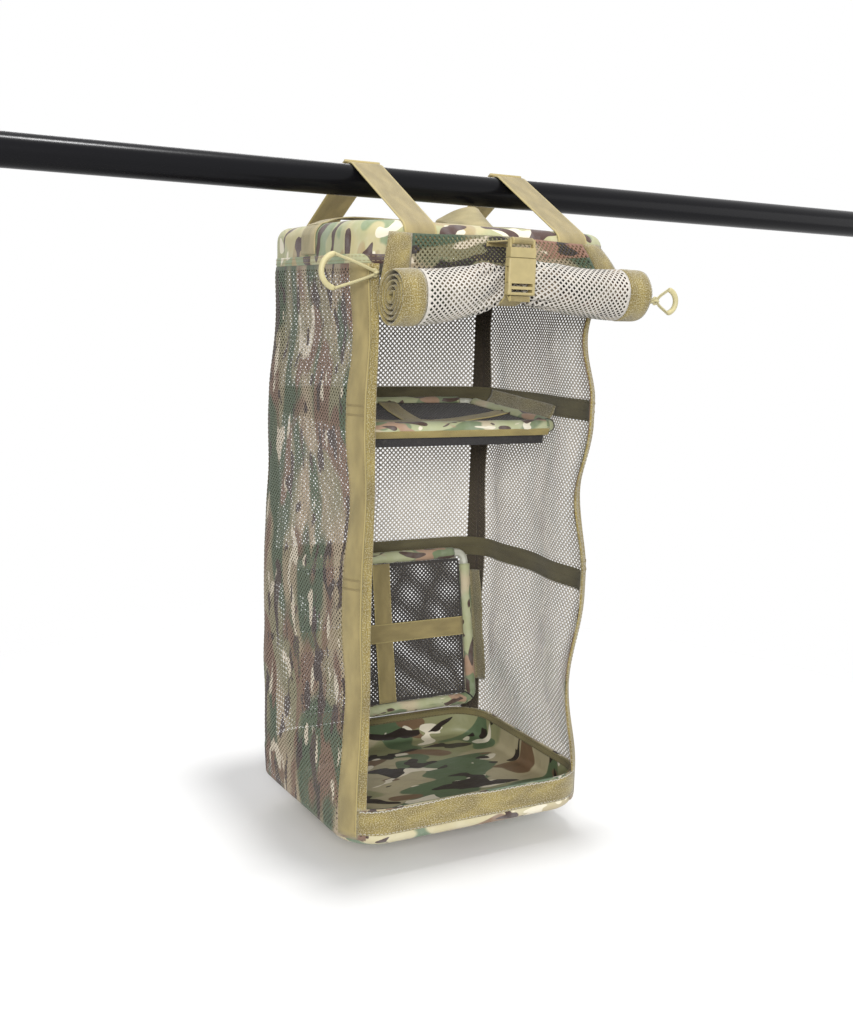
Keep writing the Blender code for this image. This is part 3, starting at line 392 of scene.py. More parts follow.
@dataclass(frozen=True)
class RibbedWebbing:
    """Flat woven webbing with fine ribs across it and a firm edge."""

    name: str
    colour: Colour
    width: float
    rib: float = 0.0016
    edge: Colour | None = None

    def material(self) -> Material:
        """Ribs, rows of lengthwise yarn with painted shade between them, and slightly worn, darker patches.
        """
        sketch = Sketch(self.name)
        place = sketch.cloth()
        across, along = sketch.axis(place, "X"), sketch.axis(place, "Y")
        ribs, rows = sketch.wave(along, self.rib), sketch.wave(across, self.rib * 0.9)
        weave = sketch.math("MULTIPLY", ribs, rows)
        fuzz = sketch.noise(place, 1500.0, 2.0)
        uneven = sketch.noise(sketch.scaled(place, (1.0, 0.35, 1.0)), 60.0, 3.0)
        low = tuple(0.74 * c for c in self.colour)
        high = tuple(min(1.0, 1.12 * c) for c in self.colour)
        colour = sketch.mix(sketch.ramp(uneven, 0.28, 0.74), low, high)
        # Painted shade: the hollows of the weave are darkened towards near black.
        colour = sketch.mix(sketch.spread(weave, 0.10, -0.04), colour, (0.03, 0.025, 0.01))
        if self.edge is not None:
            rim = sketch.ramp(sketch.math("ABSOLUTE", across), self.width * 0.42, self.width * 0.47)
            colour = sketch.mix(sketch.math("MULTIPLY", rim, 0.75), colour, self.edge)
        height = sketch.math("ADD", sketch.spread(weave, 0.0, 0.6), sketch.math("MULTIPLY", fuzz, 0.4))
        rough = sketch.spread(fuzz, 0.70, 0.90)
        return sketch.surface(colour, rough, height, 0.0005, Sheen_Weight=0.2, Sheen_Roughness=0.5)


@dataclass(frozen=True)
class LoopPile:
    """Loop tape: a napped pile, lighter where it is brushed."""

    name: str
    colour: Colour
    bright: Colour

    def material(self) -> Material:
        """Speckled pile with brushed streaks."""
        sketch = Sketch(self.name)
        place = sketch.cloth()
        pile = sketch.noise(place, 1100.0, 2.0)
        brushed = sketch.noise(sketch.scaled(place, (1.0, 0.4, 1.0)), 55.0, 4.0)
        speck = sketch.noise(place, 760.0, 2.0)
        colour = sketch.mix(sketch.ramp(brushed, 0.30, 0.68), self.colour, self.bright)
        napped = sketch.mix(0.45, colour, (1.0, 0.95, 0.72))
        colour = sketch.mix(sketch.ramp(speck, 0.40, 0.75), colour, napped)
        shaded = sketch.mix(0.35, colour, (0.05, 0.04, 0.01))
        colour = sketch.mix(sketch.ramp(pile, 0.62, 0.40), colour, shaded)
        height = sketch.heap(pile, 0.6, brushed, 0.4)
        return sketch.surface(colour, 0.92, height, 0.0009, Sheen_Weight=0.45, Sheen_Roughness=0.45)


@dataclass(frozen=True)
class HookPile:
    """Black hook tape: rows of tiny hooks."""

    name: str = "black hook tape"
    colour: Colour = shade(34, 32, 32)

    def material(self) -> Material:
        """Dots of hooks over a black ground, with painted highlights on their raised tips and patches of
        dust.
        """
        sketch = Sketch(self.name)
        place = sketch.cloth()
        values = {"Vector": place, "Scale": 700.0, "Randomness": 0.35}
        hooks = sketch.node("TexVoronoi", values).outputs[0]
        dust = sketch.noise(place, 90.0, 3.0)
        # Painted highlight: the raised hook tips are a lighter copy of the black.
        lit_hook_tips = tuple(2.2 * c for c in self.colour)
        colour = sketch.mix(sketch.ramp(hooks, 0.15, 0.6), lit_hook_tips, self.colour)
        colour = sketch.mix(sketch.ramp(dust, 0.55, 0.9), colour, shade(72, 68, 64))
        return sketch.surface(colour, 0.8, sketch.spread(hooks, 1.0, 0.0), 0.0006, Sheen_Weight=0.1)


@dataclass(frozen=True)
class MouldedPlastic:
    """Moulded plastic with a fine spark-eroded grain."""

    name: str
    colour: Colour
    rough: float = 0.42
    grain: float = 0.00006

    def material(self) -> Material:
        """Even colour with faint flow marks and handled, smoother patches."""
        sketch = Sketch(self.name)
        place = sketch.solid()
        grain = sketch.noise(place, 2600.0, 2.0)
        flow = sketch.noise(place, 90.0, 3.0)
        low = tuple(0.88 * c for c in self.colour)
        colour = sketch.mix(sketch.ramp(flow, 0.3, 0.7), low, self.colour)
        rough = sketch.spread(flow, self.rough - 0.08, self.rough + 0.10)
        return sketch.surface(colour, rough, grain, self.grain)


@dataclass(frozen=True)
class BraidedCord:
    """Thin braided cord or sewing thread."""

    name: str
    colour: Colour
    turn: float = 0.0022

    def material(self) -> Material:
        """Two sets of strands crossing on the slant, with painted shade in the gaps between them."""
        sketch = Sketch(self.name)
        place = sketch.cloth()
        across, along = sketch.axis(place, "X"), sketch.axis(place, "Y")
        one, two = (sketch.wave(sketch.math(kind, along, across), self.turn) for kind in ("ADD", "SUBTRACT"))
        strands = sketch.math("MAXIMUM", one, two)
        fuzz = sketch.noise(place, 1500.0, 2.0)
        # Painted shade: the gaps between the strands are darkened.
        strand_gap_shade = tuple(0.45 * c for c in self.colour)
        colour = sketch.mix(sketch.spread(strands, 0.30, 0.0), self.colour, strand_gap_shade)
        height = sketch.math("ADD", sketch.spread(strands, 0.0, 0.7), sketch.math("MULTIPLY", fuzz, 0.3))
        return sketch.surface(colour, 0.75, height, 0.0004, Sheen_Weight=0.15)


class Workroom:
    """Every finish of the shelf, each made into a material once."""

    def __init__(self) -> None:
        """Mixes the finishes."""
        self.prints()
        self.webbings()
        self.hooks = HookPile().material()
        self.plastic = MouldedPlastic("khaki plastic", shade(182, 166, 116)).material()
        self.grip = MouldedPlastic("grip plastic", shade(206, 196, 148), 0.5).material()
        self.board = MouldedPlastic("stiffener board", shade(60, 60, 62), 0.6, 0.0003).material()
        self.rod = MouldedPlastic("rod", shade(205, 205, 190), 0.35, 0.0001).material()
        self.cord = BraidedCord("pull cord", shade(208, 198, 150)).material()
        self.black_cord = BraidedCord("corner loop cord", shade(38, 36, 36)).material()
        self.thread = BraidedCord("khaki thread", shade(170, 152, 104), 0.0008).material()
        self.pale_thread = BraidedCord("pale thread", shade(236, 232, 220), 0.0008).material()
        self.dark_thread = BraidedCord("dark thread", shade(92, 82, 52), 0.0008).material()

    def prints(self) -> None:
        """The printed cloths, the liner and the knitted meshes."""
        top = palette((196, 186, 140), (178, 178, 134), (142, 156, 118), (176, 158, 116), (72, 48, 40))
        looks = {"spot": 0.026, "stretch": 1.5, "ragged": 0.2, "darkness": 0.60, "greenness": 0.60}
        self.cap = WovenCloth("cap cloth", CamoPrint(**top, shift=0.13, **looks)).material()
        wrap = CamoPrint(shift=1.07, second=shade(190, 176, 140))
        self.tray = WovenCloth("tray cloth", wrap).material()
        sleeve = palette((206, 192, 160), (180, 184, 142), (122, 136, 100), (176, 144, 118), (80, 60, 50))
        looks = {"blot": 0.034, "spot": 0.014, "darkness": 0.62, "greenness": 0.57}
        self.sleeve = WovenCloth("sleeve cloth", CamoPrint(**sleeve, shift=2.3, **looks)).material()
        liner = palette(
            (182, 172, 140), (150, 150, 112), (92, 110, 80), (120, 96, 72), (42, 32, 28), (234, 226, 206)
        )
        looks = {"blot": 0.060, "spot": 0.026, "softness": 0.005, "stretch": 2.1, "ragged": 0.5}
        levels = {"darkness": 0.60, "paleness": 0.645, "greenness": 0.555}
        liner_print = CamoPrint(**liner, shift=3.9, **looks, **levels)
        self.liner = SmoothLaminate("liner film", liner_print).material()
        wall = palette(
            (172, 154, 128), (138, 132, 102), (74, 90, 66), (122, 94, 76), (66, 50, 46), (214, 202, 180)
        )
        looks = {"turn": 90.0, "blot": 0.052, "stretch": 2.6, "ragged": 0.45, "softness": 0.028}
        levels = {"greenness": 0.53, "brownness": 0.55, "darkness": 0.60, "paleness": 0.645}
        wall_print = CamoPrint(**wall, shift=5.1, **looks, **levels)
        # The door's print is the walls' print made darker: partly painted shade, so that the rolled door's
        # deep holes look dark.
        door = palette(
            (166, 146, 122), (126, 122, 94), (64, 80, 58), (138, 102, 84), (44, 36, 34), (204, 192, 170)
        )
        looks = {"blot": 0.050, "spot": 0.022, "ragged": 0.4, "softness": 0.022}
        door_print_and_shade = CamoPrint(**door, shift=6.4, **looks, greenness=0.53, darkness=0.57)
        pale = shade(208, 200, 187)
        self.mesh_print = KnittedMesh("mesh print", pale, wall_print, 0.96).material()
        self.mesh_yarn = KnittedMesh("mesh yarn", pale).material()
        # The seam yarn is a dark yarn for the mesh's inner faces along its side edges: painted shade of the
        # corner webbing seen through the mesh.
        self.seam_shade_yarn = KnittedMesh("seam shade yarn", shade(70, 60, 48)).material()
        self.door_print_and_shade = KnittedMesh("door print and shade", pale, door_print_and_shade, 1.0).material()
        self.door_yarn = KnittedMesh("door yarn", shade(212, 206, 196)).material()
        self.shelf_mesh = KnittedMesh("shelf mesh yarn", shade(62, 58, 56)).material()

    def webbings(self) -> None:
        """The webbings, bindings and loop tapes."""
        edge = shade(192, 176, 118)
        self.webbing = RibbedWebbing("corner webbing", shade(169, 152, 102), 0.025, edge=edge).material()
        self.strap = RibbedWebbing("strap webbing", shade(174, 157, 110), 0.038, edge=edge).material()
        self.band = RibbedWebbing("wall band webbing", shade(104, 97, 68), 0.025).material()
        # The rear corner webbing is the corner webbing darkened: painted shade at the back corners, seen
        # through the mesh.
        self.rear = RibbedWebbing("shaded rear corner webbing", shade(74, 67, 48), 0.025).material()
        self.handle = RibbedWebbing("handle webbing", shade(188, 174, 130), 0.038).material()
        self.binding = RibbedWebbing("rim binding", shade(148, 136, 88), 0.010, rib=0.0012).material()
        self.piping = RibbedWebbing("sleeve piping", shade(170, 152, 92), 0.009, rib=0.0012).material()
        self.pile = LoopPile("loop tape", shade(120, 102, 46), shade(162, 142, 70)).material()
        self.dark_pile = LoopPile("flap tape", shade(104, 94, 60), shade(134, 122, 82)).material()


@dataclass
class Cutting:
    """A mesh while it is being made: its points, its faces, and where each point lies on the cloth."""

    points: list[Array] = field(default_factory=list)
    cloth: list[Array] = field(default_factory=list)
    faces: list[Array] = field(default_factory=list)
    shades: list[Array] = field(default_factory=list)
    bake: list[Array] = field(default_factory=list)
    count: int = 0

    def add(self, points: Array, cloth: Array) -> int:
        """Adds points.

        Args:
            points: The points, in rows of three.
            cloth: Where each lies on the cloth, in rows of two.

        Returns:
            The number of the first of them.
        """
        first = self.count
        self.points.append(np.asarray(points, float).reshape(-1, 3))
        self.cloth.append(np.asarray(cloth, float).reshape(-1, 2))
        self.count += len(self.points[-1])
        return first

    def face(self, corners: Array, tone: int = 0, bake: Array | None = None) -> None:
        """Adds faces of one number of corners.

        Args:
            corners: The numbers of each face's corners, a face to a row.
            tone: Which of the piece's materials they take.
            bake: Each corner's place in the texture, if the piece has its own.
        """
        corners = np.asarray(corners, int)
        self.faces.append(corners)
        self.shades.append(np.full(len(corners), tone))
        if bake is not None:
            self.bake.append(np.asarray(bake, float).reshape(-1, 2))

    def grid(
        self, points: Array, cloth: Array, around: bool = False, flip: bool = False, tone: int = 0
    ) -> int:
        """Adds a surface through a grid of points.

        Args:
            points: The grid, rows by columns by three.
            cloth: The same grid on the cloth, rows by columns by two.
            around: Whether the last column joins the first.
            flip: Whether the faces look the other way.
            tone: Which of the piece's materials it takes.

        Returns:
            The number of its first point.
        """
        rows, columns = points.shape[:2]
        first = self.add(points, cloth)
        number = first + np.arange(rows * columns).reshape(rows, columns)
        right = np.roll(number, -1, 1) if around else number[:, 1:]
        left = number if around else number[:, :-1]
        quads = np.stack([left[:-1], right[:-1], right[1:], left[1:]], -1).reshape(-1, 4)
        self.face(quads[:, ::-1] if flip else quads, tone)
        return first

    def slab(self, outer: Array, inner: Array, cloth: Array) -> None:
        """Adds a closed sheet between two grids of points.

        Args:
            outer: The grid that the sheet's front lies on.
            inner: The grid that its back lies on.
            cloth: The grid on the cloth.
        """
        index = np.arange(outer.shape[0] * outer.shape[1]).reshape(outer.shape[:2])
        a = self.grid(outer, cloth)
        b = self.grid(inner, cloth, flip=True)
        rim = np.concatenate([index[0, :-1], index[:-1, -1], index[-1, :0:-1], index[:0:-1, 0]])
        after = np.roll(rim, -1)
        self.face(np.stack([a + after, a + rim, b + rim, b + after], -1))

    def hose(self, points: Array, cloth: Array) -> None:
        """Adds a tube through rows of points, closed at both ends.

        Args:
            points: A ring of points for each row.
            cloth: The same grid on the cloth.
        """
        rows, count = points.shape[:2]
        first = self.grid(points, cloth, around=True) + np.arange(count)
        self.face(first[None, ::-1])
        self.face(first[None] + (rows - 1) * count)

    def sweep(self, path: Array, across: Array, section: Array) -> None:
        """Draws a closed section along a path.

        Args:
            path: The path's points.
            across: The section's first direction, one for all points or one for each.
            section: The section's outline: how far across, and how far out from the path.
        """
        across = unit(np.broadcast_to(across, path.shape))
        out = unit(np.cross(across, np.gradient(path, axis=0)))
        points = path[:, None] + across[:, None] * section[:, :1] + out[:, None] * section[:, 1:]
        self.hose(points, joined(section[:, 0], gone_along(path)[:, None]))

    def tube(self, path: Array, radius: float | Array, sides: int) -> None:
        """Draws a round cord along a path, with no twist in it.

        Args:
            path: The path's points.
            radius: The cord's radius, or one for each point.
            sides: How many sides it has.
        """
        along = unit(np.gradient(path, axis=0))
        side = np.cross(along[0], (0.3, 0.2, 0.93))
        frames = []
        for step in along:
            side = side - step * np.dot(side, step)
            side = side / np.linalg.norm(side)
            frames.append(side)
        one = np.array(frames)
        turn = circle(sides)
        radius = np.broadcast_to(radius, (len(path),))[:, None]
        ring = spokes(one, np.cross(along, one), turn)
        self.hose(path[:, None] + ring * radius[..., None], joined(turn * radius, gone_along(path)[:, None]))

    def stitches(self, places: Array, along: Array, out: Array, long: float, wide: float) -> None:
        """Adds short raised stitches.

        Args:
            places: The middle of each stitch.
            along: The direction that each runs in.
            out: The direction away from the cloth.
            long: How long one is.
            wide: How thick its thread is.
        """
        along = unit(along)
        side = unit(np.cross(along, out))
        up = np.cross(side, along)
        turn = circle(6)
        ring = spokes(side, up, turn) * wide / 2
        rings = []
        for where, size in ((-0.5, 0.35), (-0.3, 1.0), (0.3, 1.0), (0.5, 0.35)):
            centre = places + along * long * where + up * wide * 0.2 * (size - 1)
            rings.append(centre[:, None] + ring * size)
        count = len(places)
        flat = joined(np.arange(4)[:, None] * long / 3, turn * wide / 2)
        first = self.add(np.stack(rings, 1), np.broadcast_to(flat, (count, 4, 6, 2)))
        number = first + np.arange(count * 24).reshape(count, 4, 6)
        ahead = np.roll(number, -1, 2)
        quads = np.stack([number[:, :-1], ahead[:, :-1], ahead[:, 1:], number[:, 1:]], -1)
        self.face(quads.reshape(-1, 4))
        self.face(number[:, 0, ::-1])
        self.face(number[:, -1])

    def shell(self, outer: Array, inner: Array, cloth: Array, bowl: bool) -> None:
        """Adds a closed layer between two grids that go round, with its rim at one end.

        Args:
            outer: The grid of its outside.
            inner: The grid of its inside.
            cloth: The grid on the cloth.
            bowl: Whether its rim is the last row, not the first.
        """
        a = self.grid(outer, cloth, around=True)
        b = self.grid(inner, cloth, around=True, flip=True, tone=1)
        ring = np.arange(outer.shape[1])
        last = (len(outer) - 1) * len(ring) + ring
        rim, middle = (last, ring[::-1]) if bowl else (ring, last)
        after = np.roll(rim, -1)
        near, far = (rim, after) if bowl else (after, rim)
        self.face(joined(a + near, a + far, b + far, b + near), int(bowl))
        self.face((a + middle)[None])
        self.face((b + middle)[None, ::-1], 1)

    def piece(
        self, name: str, slot: Slot, body: str, *materials: Material, node: str = ""
    ) -> bpy.types.Object:
        """Makes the object.

        Args:
            name: Its name.
            slot: The record's slot that it belongs to; not used.
            body: The body that it moves with.
            materials: Its materials, in the order of their numbers.
            node: The part's node that it stands for, if any.

        Returns:
            The object, riding on its body.
        """
        mesh = bpy.data.meshes.new(name)
        points = np.concatenate(self.points)
        corners = np.concatenate([f.reshape(-1) for f in self.faces])
        sizes = np.concatenate([np.full(len(f), f.shape[1]) for f in self.faces])
        mesh.vertices.add(len(points))
        mesh.vertices.foreach_set("co", points.astype(np.float32).reshape(-1))
        mesh.loops.add(len(corners))
        mesh.loops.foreach_set("vertex_index", corners.astype(np.int32))
        mesh.polygons.add(len(sizes))
        rows = {"loop_start": np.cumsum(sizes) - sizes, "loop_total": sizes}
        rows["material_index"] = np.concatenate(self.shades)
        for key, values in rows.items():
            mesh.polygons.foreach_set(key, values.astype(np.int32))
        mesh.update(calc_edges=True)
        mesh.validate()
        places = {"cloth": np.concatenate(self.cloth)[corners]}
        if self.bake:
            places["OFBake"] = np.concatenate(self.bake)
        for key, values in places.items():
            layer = mesh.uv_layers.new(name=key)
            layer.data.foreach_set("uv", values.astype(np.float32).reshape(-1))
        mesh.shade_smooth()
        for material in materials:
            mesh.materials.append(material)
        obj = stand(name, mesh)
        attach(obj, body)
        if node:
            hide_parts(node)
        LOG.info("%s: %d points, %d faces, on %s", name, len(points), len(sizes), body)
        return obj


def flat_section(width: float, thick: float) -> Array:
    """The outline of a flat strap with rounded edges.

    Args:
        width: The strap's width.
        thick: Its thickness.

    Returns:
        Pairs of how far across and how far out, anticlockwise.
    """
    deep = thick / 2
    across = width / 2 - deep * np.array([0.0, 0.25, 0.9])
    out = deep * np.array([0.25, 0.75, 1.0])
    inner = np.linspace(across[-1], -across[-1], 6)[1:-1]
    xs = np.concatenate([across, inner, -across[::-1]])
    zs = np.concatenate([out, np.full(len(inner), deep), out[::-1]])
    return np.concatenate([joined(xs, zs), joined(xs[::-1], -zs)])


@dataclass(frozen=True)
class HoleLattice:
    """Knitted mesh cloth laid flat: square holes turned on their points, in staggered rows."""

    pitch: float = 0.0063
    hole: float = 0.00186

    def lay(self, width: float, height: float) -> tuple[Array, Array, int]:
        """Fits the lattice into a rectangle.

        Args:
            width: The rectangle's width.
            height: The rectangle's height.

        Returns:
            The lattice's points from the lower left corner, its four-cornered faces, and how many
            holes there are. A hole's points come first, four to a hole.
        """
        half = self.pitch / 2
        columns = max(2, int((width - self.pitch) / self.pitch) + 1)
        rows = max(3, int((height - self.pitch) / half) + 1)
        rows -= 1 - rows % 2
        left = (width - (columns - 1) * self.pitch) / 2
        low = (height - (rows - 1) * half) / 2
        start, number, centres = [], 0, []
        for j in range(rows):
            start.append(number)
            count = columns - j % 2
            centres.append(joined(left + (np.arange(count) + 0.5 * (j % 2)) * self.pitch, low + j * half))
            number += count
        middle = np.concatenate(centres)
        xs, ys = left + np.arange(2 * columns - 1) * half, low + np.arange(rows) * half
        corners = np.array([(0, 0), (width, 0), (width, height), (0, height)], float)
        rim = joined(xs, 0.0), joined(xs, height), joined(0.0, ys), joined(width, ys), corners
        border = 4 * len(middle) + np.cumsum([0] + [len(side) for side in rim])
        faces = self._inside(start, columns, rows)
        faces += self._rims(start, columns, rows, tuple(int(k) for k in border[:5]))
        arms = np.array([(1, 0), (0, 1), (-1, 0), (0, -1)]) * self.hole
        points = np.concatenate([(middle[:, None] + arms).reshape(-1, 2), *rim])
        return points, np.array(faces), len(middle)

    @staticmethod
    def _inside(start: list[int], columns: int, rows: int) -> list[tuple[int, ...]]:
        """The cloth between four holes, and between two that meet on the slant."""
        faces = []
        for j in range(rows):
            odd = j % 2
            for i in range(columns - odd):
                hole = 4 * (start[j] + i)
                if j + 1 < rows:
                    right, left = i + odd, i - 1 + odd
                    if right < columns - (1 - odd):
                        up = 4 * (start[j + 1] + right)
                        faces.append((hole, up + 3, up + 2, hole + 1))
                    if left >= 0:
                        up = 4 * (start[j + 1] + left)
                        faces.append((hole + 1, up, up + 3, hole + 2))
                if 0 < j < rows - 1 and i + 1 < columns - odd:
                    above = 4 * (start[j + 1] + i + odd)
                    below = 4 * (start[j - 1] + i + odd)
                    faces.append((hole, below + 1, hole + 4 + 2, above + 3))
        return faces

    @staticmethod
    def _rims(
        start: list[int], columns: int, rows: int, border: tuple[int, int, int, int, int]
    ) -> list[tuple[int, ...]]:
        """The cloth between the outermost holes and the four straight edges."""
        bottom, top, west, east, corner = border
        faces = []
        last = start[rows - 1]
        for i in range(columns):
            low, high = 4 * i, 4 * (last + i)
            here, there = bottom + 2 * i, top + 2 * i
            if i > 0:
                faces += [(low + 2, here - 1, here, low + 3), (high + 1, there, there - 1, high + 2)]
            if i + 1 < columns:
                faces += [(low + 3, here, here + 1, low), (high, there + 1, there, high + 1)]
                faces.append((low, here + 1, low + 4 + 2, 4 * (start[1] + i) + 3))
                faces.append((high, 4 * (start[rows - 2] + i) + 1, high + 4 + 2, there + 1))
        for j in range(0, rows, 2):
            one, two = 4 * start[j], 4 * (start[j] + columns - 1)
            if j > 0:
                faces += [(west + j - 1, one + 3, one + 2, west + j), (two + 3, east + j - 1, east + j, two)]
            if j + 1 < rows:
                faces += [(west + j, one + 2, one + 1, west + j + 1), (two, east + j, east + j + 1, two + 1)]
                first, final = 4 * start[j + 1], 4 * (start[j + 1] + columns - 2)
                up, far = 4 * start[j + 2], 4 * (start[j + 2] + columns - 1)
                faces.append((west + j + 1, one + 1, first + 2, up + 3))
                faces.append((final, two + 1, east + j + 1, far + 3))
        a, b = 0, 4 * (columns - 1)
        c, d = 4 * (last + columns - 1), 4 * last
        edge, end = 2 * columns - 2, rows - 1
        faces += [(a + 2, west, corner, bottom), (a + 2, bottom, a + 3, a + 3)]
        faces += [(b, bottom + edge, corner + 1, east), (b, b + 3, bottom + edge, bottom + edge)]
        faces += [(c, east + end, corner + 2, top + edge), (c, top + edge, c + 1, c + 1)]
        faces += [(d + 2, top, corner + 3, west + end), (d + 2, d + 1, top, top)]
        return faces

    def cut(
        self,
        cutting: Cutting,
        width: float,
        height: float,
        place: Callable[[Array, Array, Face], Array],
        window: tuple[float, float] = (0.01, 0.99),
    ) -> None:
        """Cuts a piece of the mesh cloth and lays it in place.

        Args:
            cutting: The mesh that it is added to.
            width: The piece's width on the cloth.
            height: Its height on the cloth.
            place: Gives the points of one face of the cloth from their places on it.
            window: The share of the texture's height that it takes.
        """
        flat, quads, holes = self.lay(width, height)
        front = cutting.add(place(flat[:, 0], flat[:, 1], Face.OUTER), flat)
        back = cutting.add(place(flat[:, 0], flat[:, 1], Face.INNER), flat)
        whole = quads[:, 2] != quads[:, 3]
        groups = quads[whole], quads[~whole][:, :3]
        low, high = window
        size = np.array([0.47 / width, (high - low) / height])
        spots = flat * size + (0.01, low)
        behind = spots + (0.51, 0.0)
        for group in groups:
            cutting.face(front + group, 0, spots[group])
            cutting.face(back + group[:, ::-1], 1, behind[group[:, ::-1]])
        edges = np.concatenate([np.stack([g, np.roll(g, -1, 1)], -1).reshape(-1, 2) for g in groups])
        keys, others = edges @ (len(flat), 1), edges @ (1, len(flat))
        one, two = edges[~np.isin(keys, others)].T
        middle = np.array([width, height]) / 2
        target = middle + 1.006 * (flat - middle)
        target[: 4 * holes] = np.repeat(flat[: 4 * holes].reshape(-1, 4, 2).mean(1), 4, 0)
        inward = np.clip((0.45 * flat + 0.55 * target) * size + (0.01, low), 0.001, 0.999)
        walls = np.stack([front + two, front + one, back + one, back + two], -1)
        cutting.face(walls, 0, np.stack([spots[two], spots[one], inward[one], inward[two]], 1))


@dataclass(frozen=True)
class BodyPlan:
    """The plan and levels of the shelf's body, and the line of its walls."""

    half_width: float
    half_depth: float
    base: float
    tray_top: float
    seam: float
    cap_top: float
    bands: tuple[float, float]
    corner: float = 0.050
    band_height: float = 0.025
    bow: float = 0.006
    swell: float = 0.012
    opening: float = 0.1385

    @classmethod
    def from_frame(cls) -> "BodyPlan":
        """Reads the plan off the frame's own pieces."""
        cap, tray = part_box("cap_shell"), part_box("tray_shell")
        names = "lower_wall_band", "upper_wall_band"
        levels = tuple((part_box(name)[0][2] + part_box(name)[1][2]) / 2 for name in names)
        return cls(cap[1][0], cap[1][1], tray[0][2], tray[1][2], cap[0][2], cap[1][2], levels)

    @property
    def quarter(self) -> float:
        """The length of one rounded corner."""
        return self.corner * math.pi / 2

    @property
    def total(self) -> float:
        """The distance once round the body."""
        return 4 * (self.half_width + self.half_depth - 2 * self.corner) + 4 * self.quarter

    @property
    def back_seam(self) -> float:
        """Where the left wall meets the back one, from the middle of the front."""
        wide, deep = self.half_width - self.corner, self.half_depth - self.corner
        return wide + 2 * deep + 1.5 * self.quarter

    def outline(self, s: Array) -> tuple[Array, Array]:
        """The body's outline seen from above.

        Args:
            s: Distances round it from the middle of the front, going to the left first.

        Returns:
            The points of the outline and the outward directions there.
        """
        s = np.mod(np.asarray(s, float), self.total)
        wide, deep = self.half_width - self.corner, self.half_depth - self.corner
        centres = ((-wide, -deep), (-wide, deep), (wide, deep), (wide, -deep))
        runs = ((wide, -90), (2 * deep, -180), (2 * wide, -270), (2 * deep, -360), (wide, -450))
        point, normal = np.zeros((*s.shape, 2)), np.zeros((*s.shape, 2))
        start, corner = 0.0, (0.0, -self.half_depth)
        for k, (length, heading) in enumerate(runs):
            turn = math.radians(heading)
            out = np.array([math.cos(turn), math.sin(turn)])
            ahead = np.array([out[1], -out[0]])
            here = (s >= start - 1e-9) & (s <= start + length)
            point[here] = np.array(corner) + ahead * (s[here] - start)[:, None]
            normal[here] = out
            start += length
            if k == 4:
                break
            bend = (s > start) & (s < start + self.quarter)
            angle = turn - (s[bend] - start) / self.corner
            bent = joined(np.cos(angle), np.sin(angle))
            point[bend] = np.array(centres[k]) + self.corner * bent
            normal[bend] = bent
            start += self.quarter
            turn -= math.pi / 2
            corner = np.array(centres[k]) + self.corner * np.array([math.cos(turn), math.sin(turn)])
        return point, normal

    def slack(self, z: Array) -> Array:
        """How slack the walls are at height z, from 0 where something holds them to 1."""
        half = self.band_height / 2
        low, high = self.bands
        stops = ((self.tray_top, low - half), (low + half, high - half), (high + half, self.seam))
        slack = np.zeros_like(z)
        for bottom, top in stops:
            part = np.clip((z - bottom) / (top - bottom), 0, 1)
            slack = slack + np.sin(math.pi * part) ** 2
        return slack

    def wall(self, s: Array, z: Array, out: Array | float = 0.0) -> Array:
        """Points on the body's walls.

        Args:
            s: Distances round the body.
            z: Heights.
            out: How far the points stand out from the walls' outer face.

        Returns:
            The points, in rows of three.
        """
        s, z, out = np.broadcast_arrays(np.asarray(s, float), np.asarray(z, float), np.asarray(out, float))
        slack = self.slack(z)
        away = np.mod(s + self.total / 2, self.total) - self.total / 2
        left = np.exp(-(((away - self.opening) / 0.09) ** 2))
        right = np.exp(-(((away + self.opening) / 0.08) ** 2))
        sway = 0.001 * left * (1 + np.sin(21 * z)) + 0.0055 * right
        uneven = 0.0016 * (1 + ripple(s * 30, z * 22, 1.3)) + 0.0009 * ripple(s * 95, z * 26, 4.0)
        height = np.clip((z - self.base) / (self.seam - self.base), 0, 1)
        swell = np.sin(math.pi * (0.10 + 0.90 * height**0.8)) ** 0.7
        swell = np.exp(-(((away - self.back_seam + 0.03) / 0.13) ** 2)) * swell
        side = np.exp(-(((away + self.back_seam - 0.12) / 0.10) ** 4))
        folds = np.sin(44 * away + 13 * z + 1.8 * np.sin(9 * z))
        drape = 0.0042 * side * folds * np.sin(math.pi * height) ** 0.5
        push = out + drape + self.swell * swell - slack * (self.bow * (1 - swell) + sway + uneven)
        return self.ring(s, z, push)

    def ring(self, s: Array, z: Array | float, out: Array | float) -> Array:
        """Points round the body's flat outline.

        Args:
            s: Distances round the body.
            z: Heights.
            out: How far the points stand out from the outline.

        Returns:
            The points, in rows of three.
        """
        s, z, out = np.broadcast_arrays(s, z, out)
        point, normal = self.outline(s)
        return np.concatenate([point + normal * out[..., None], z[..., None]], -1)


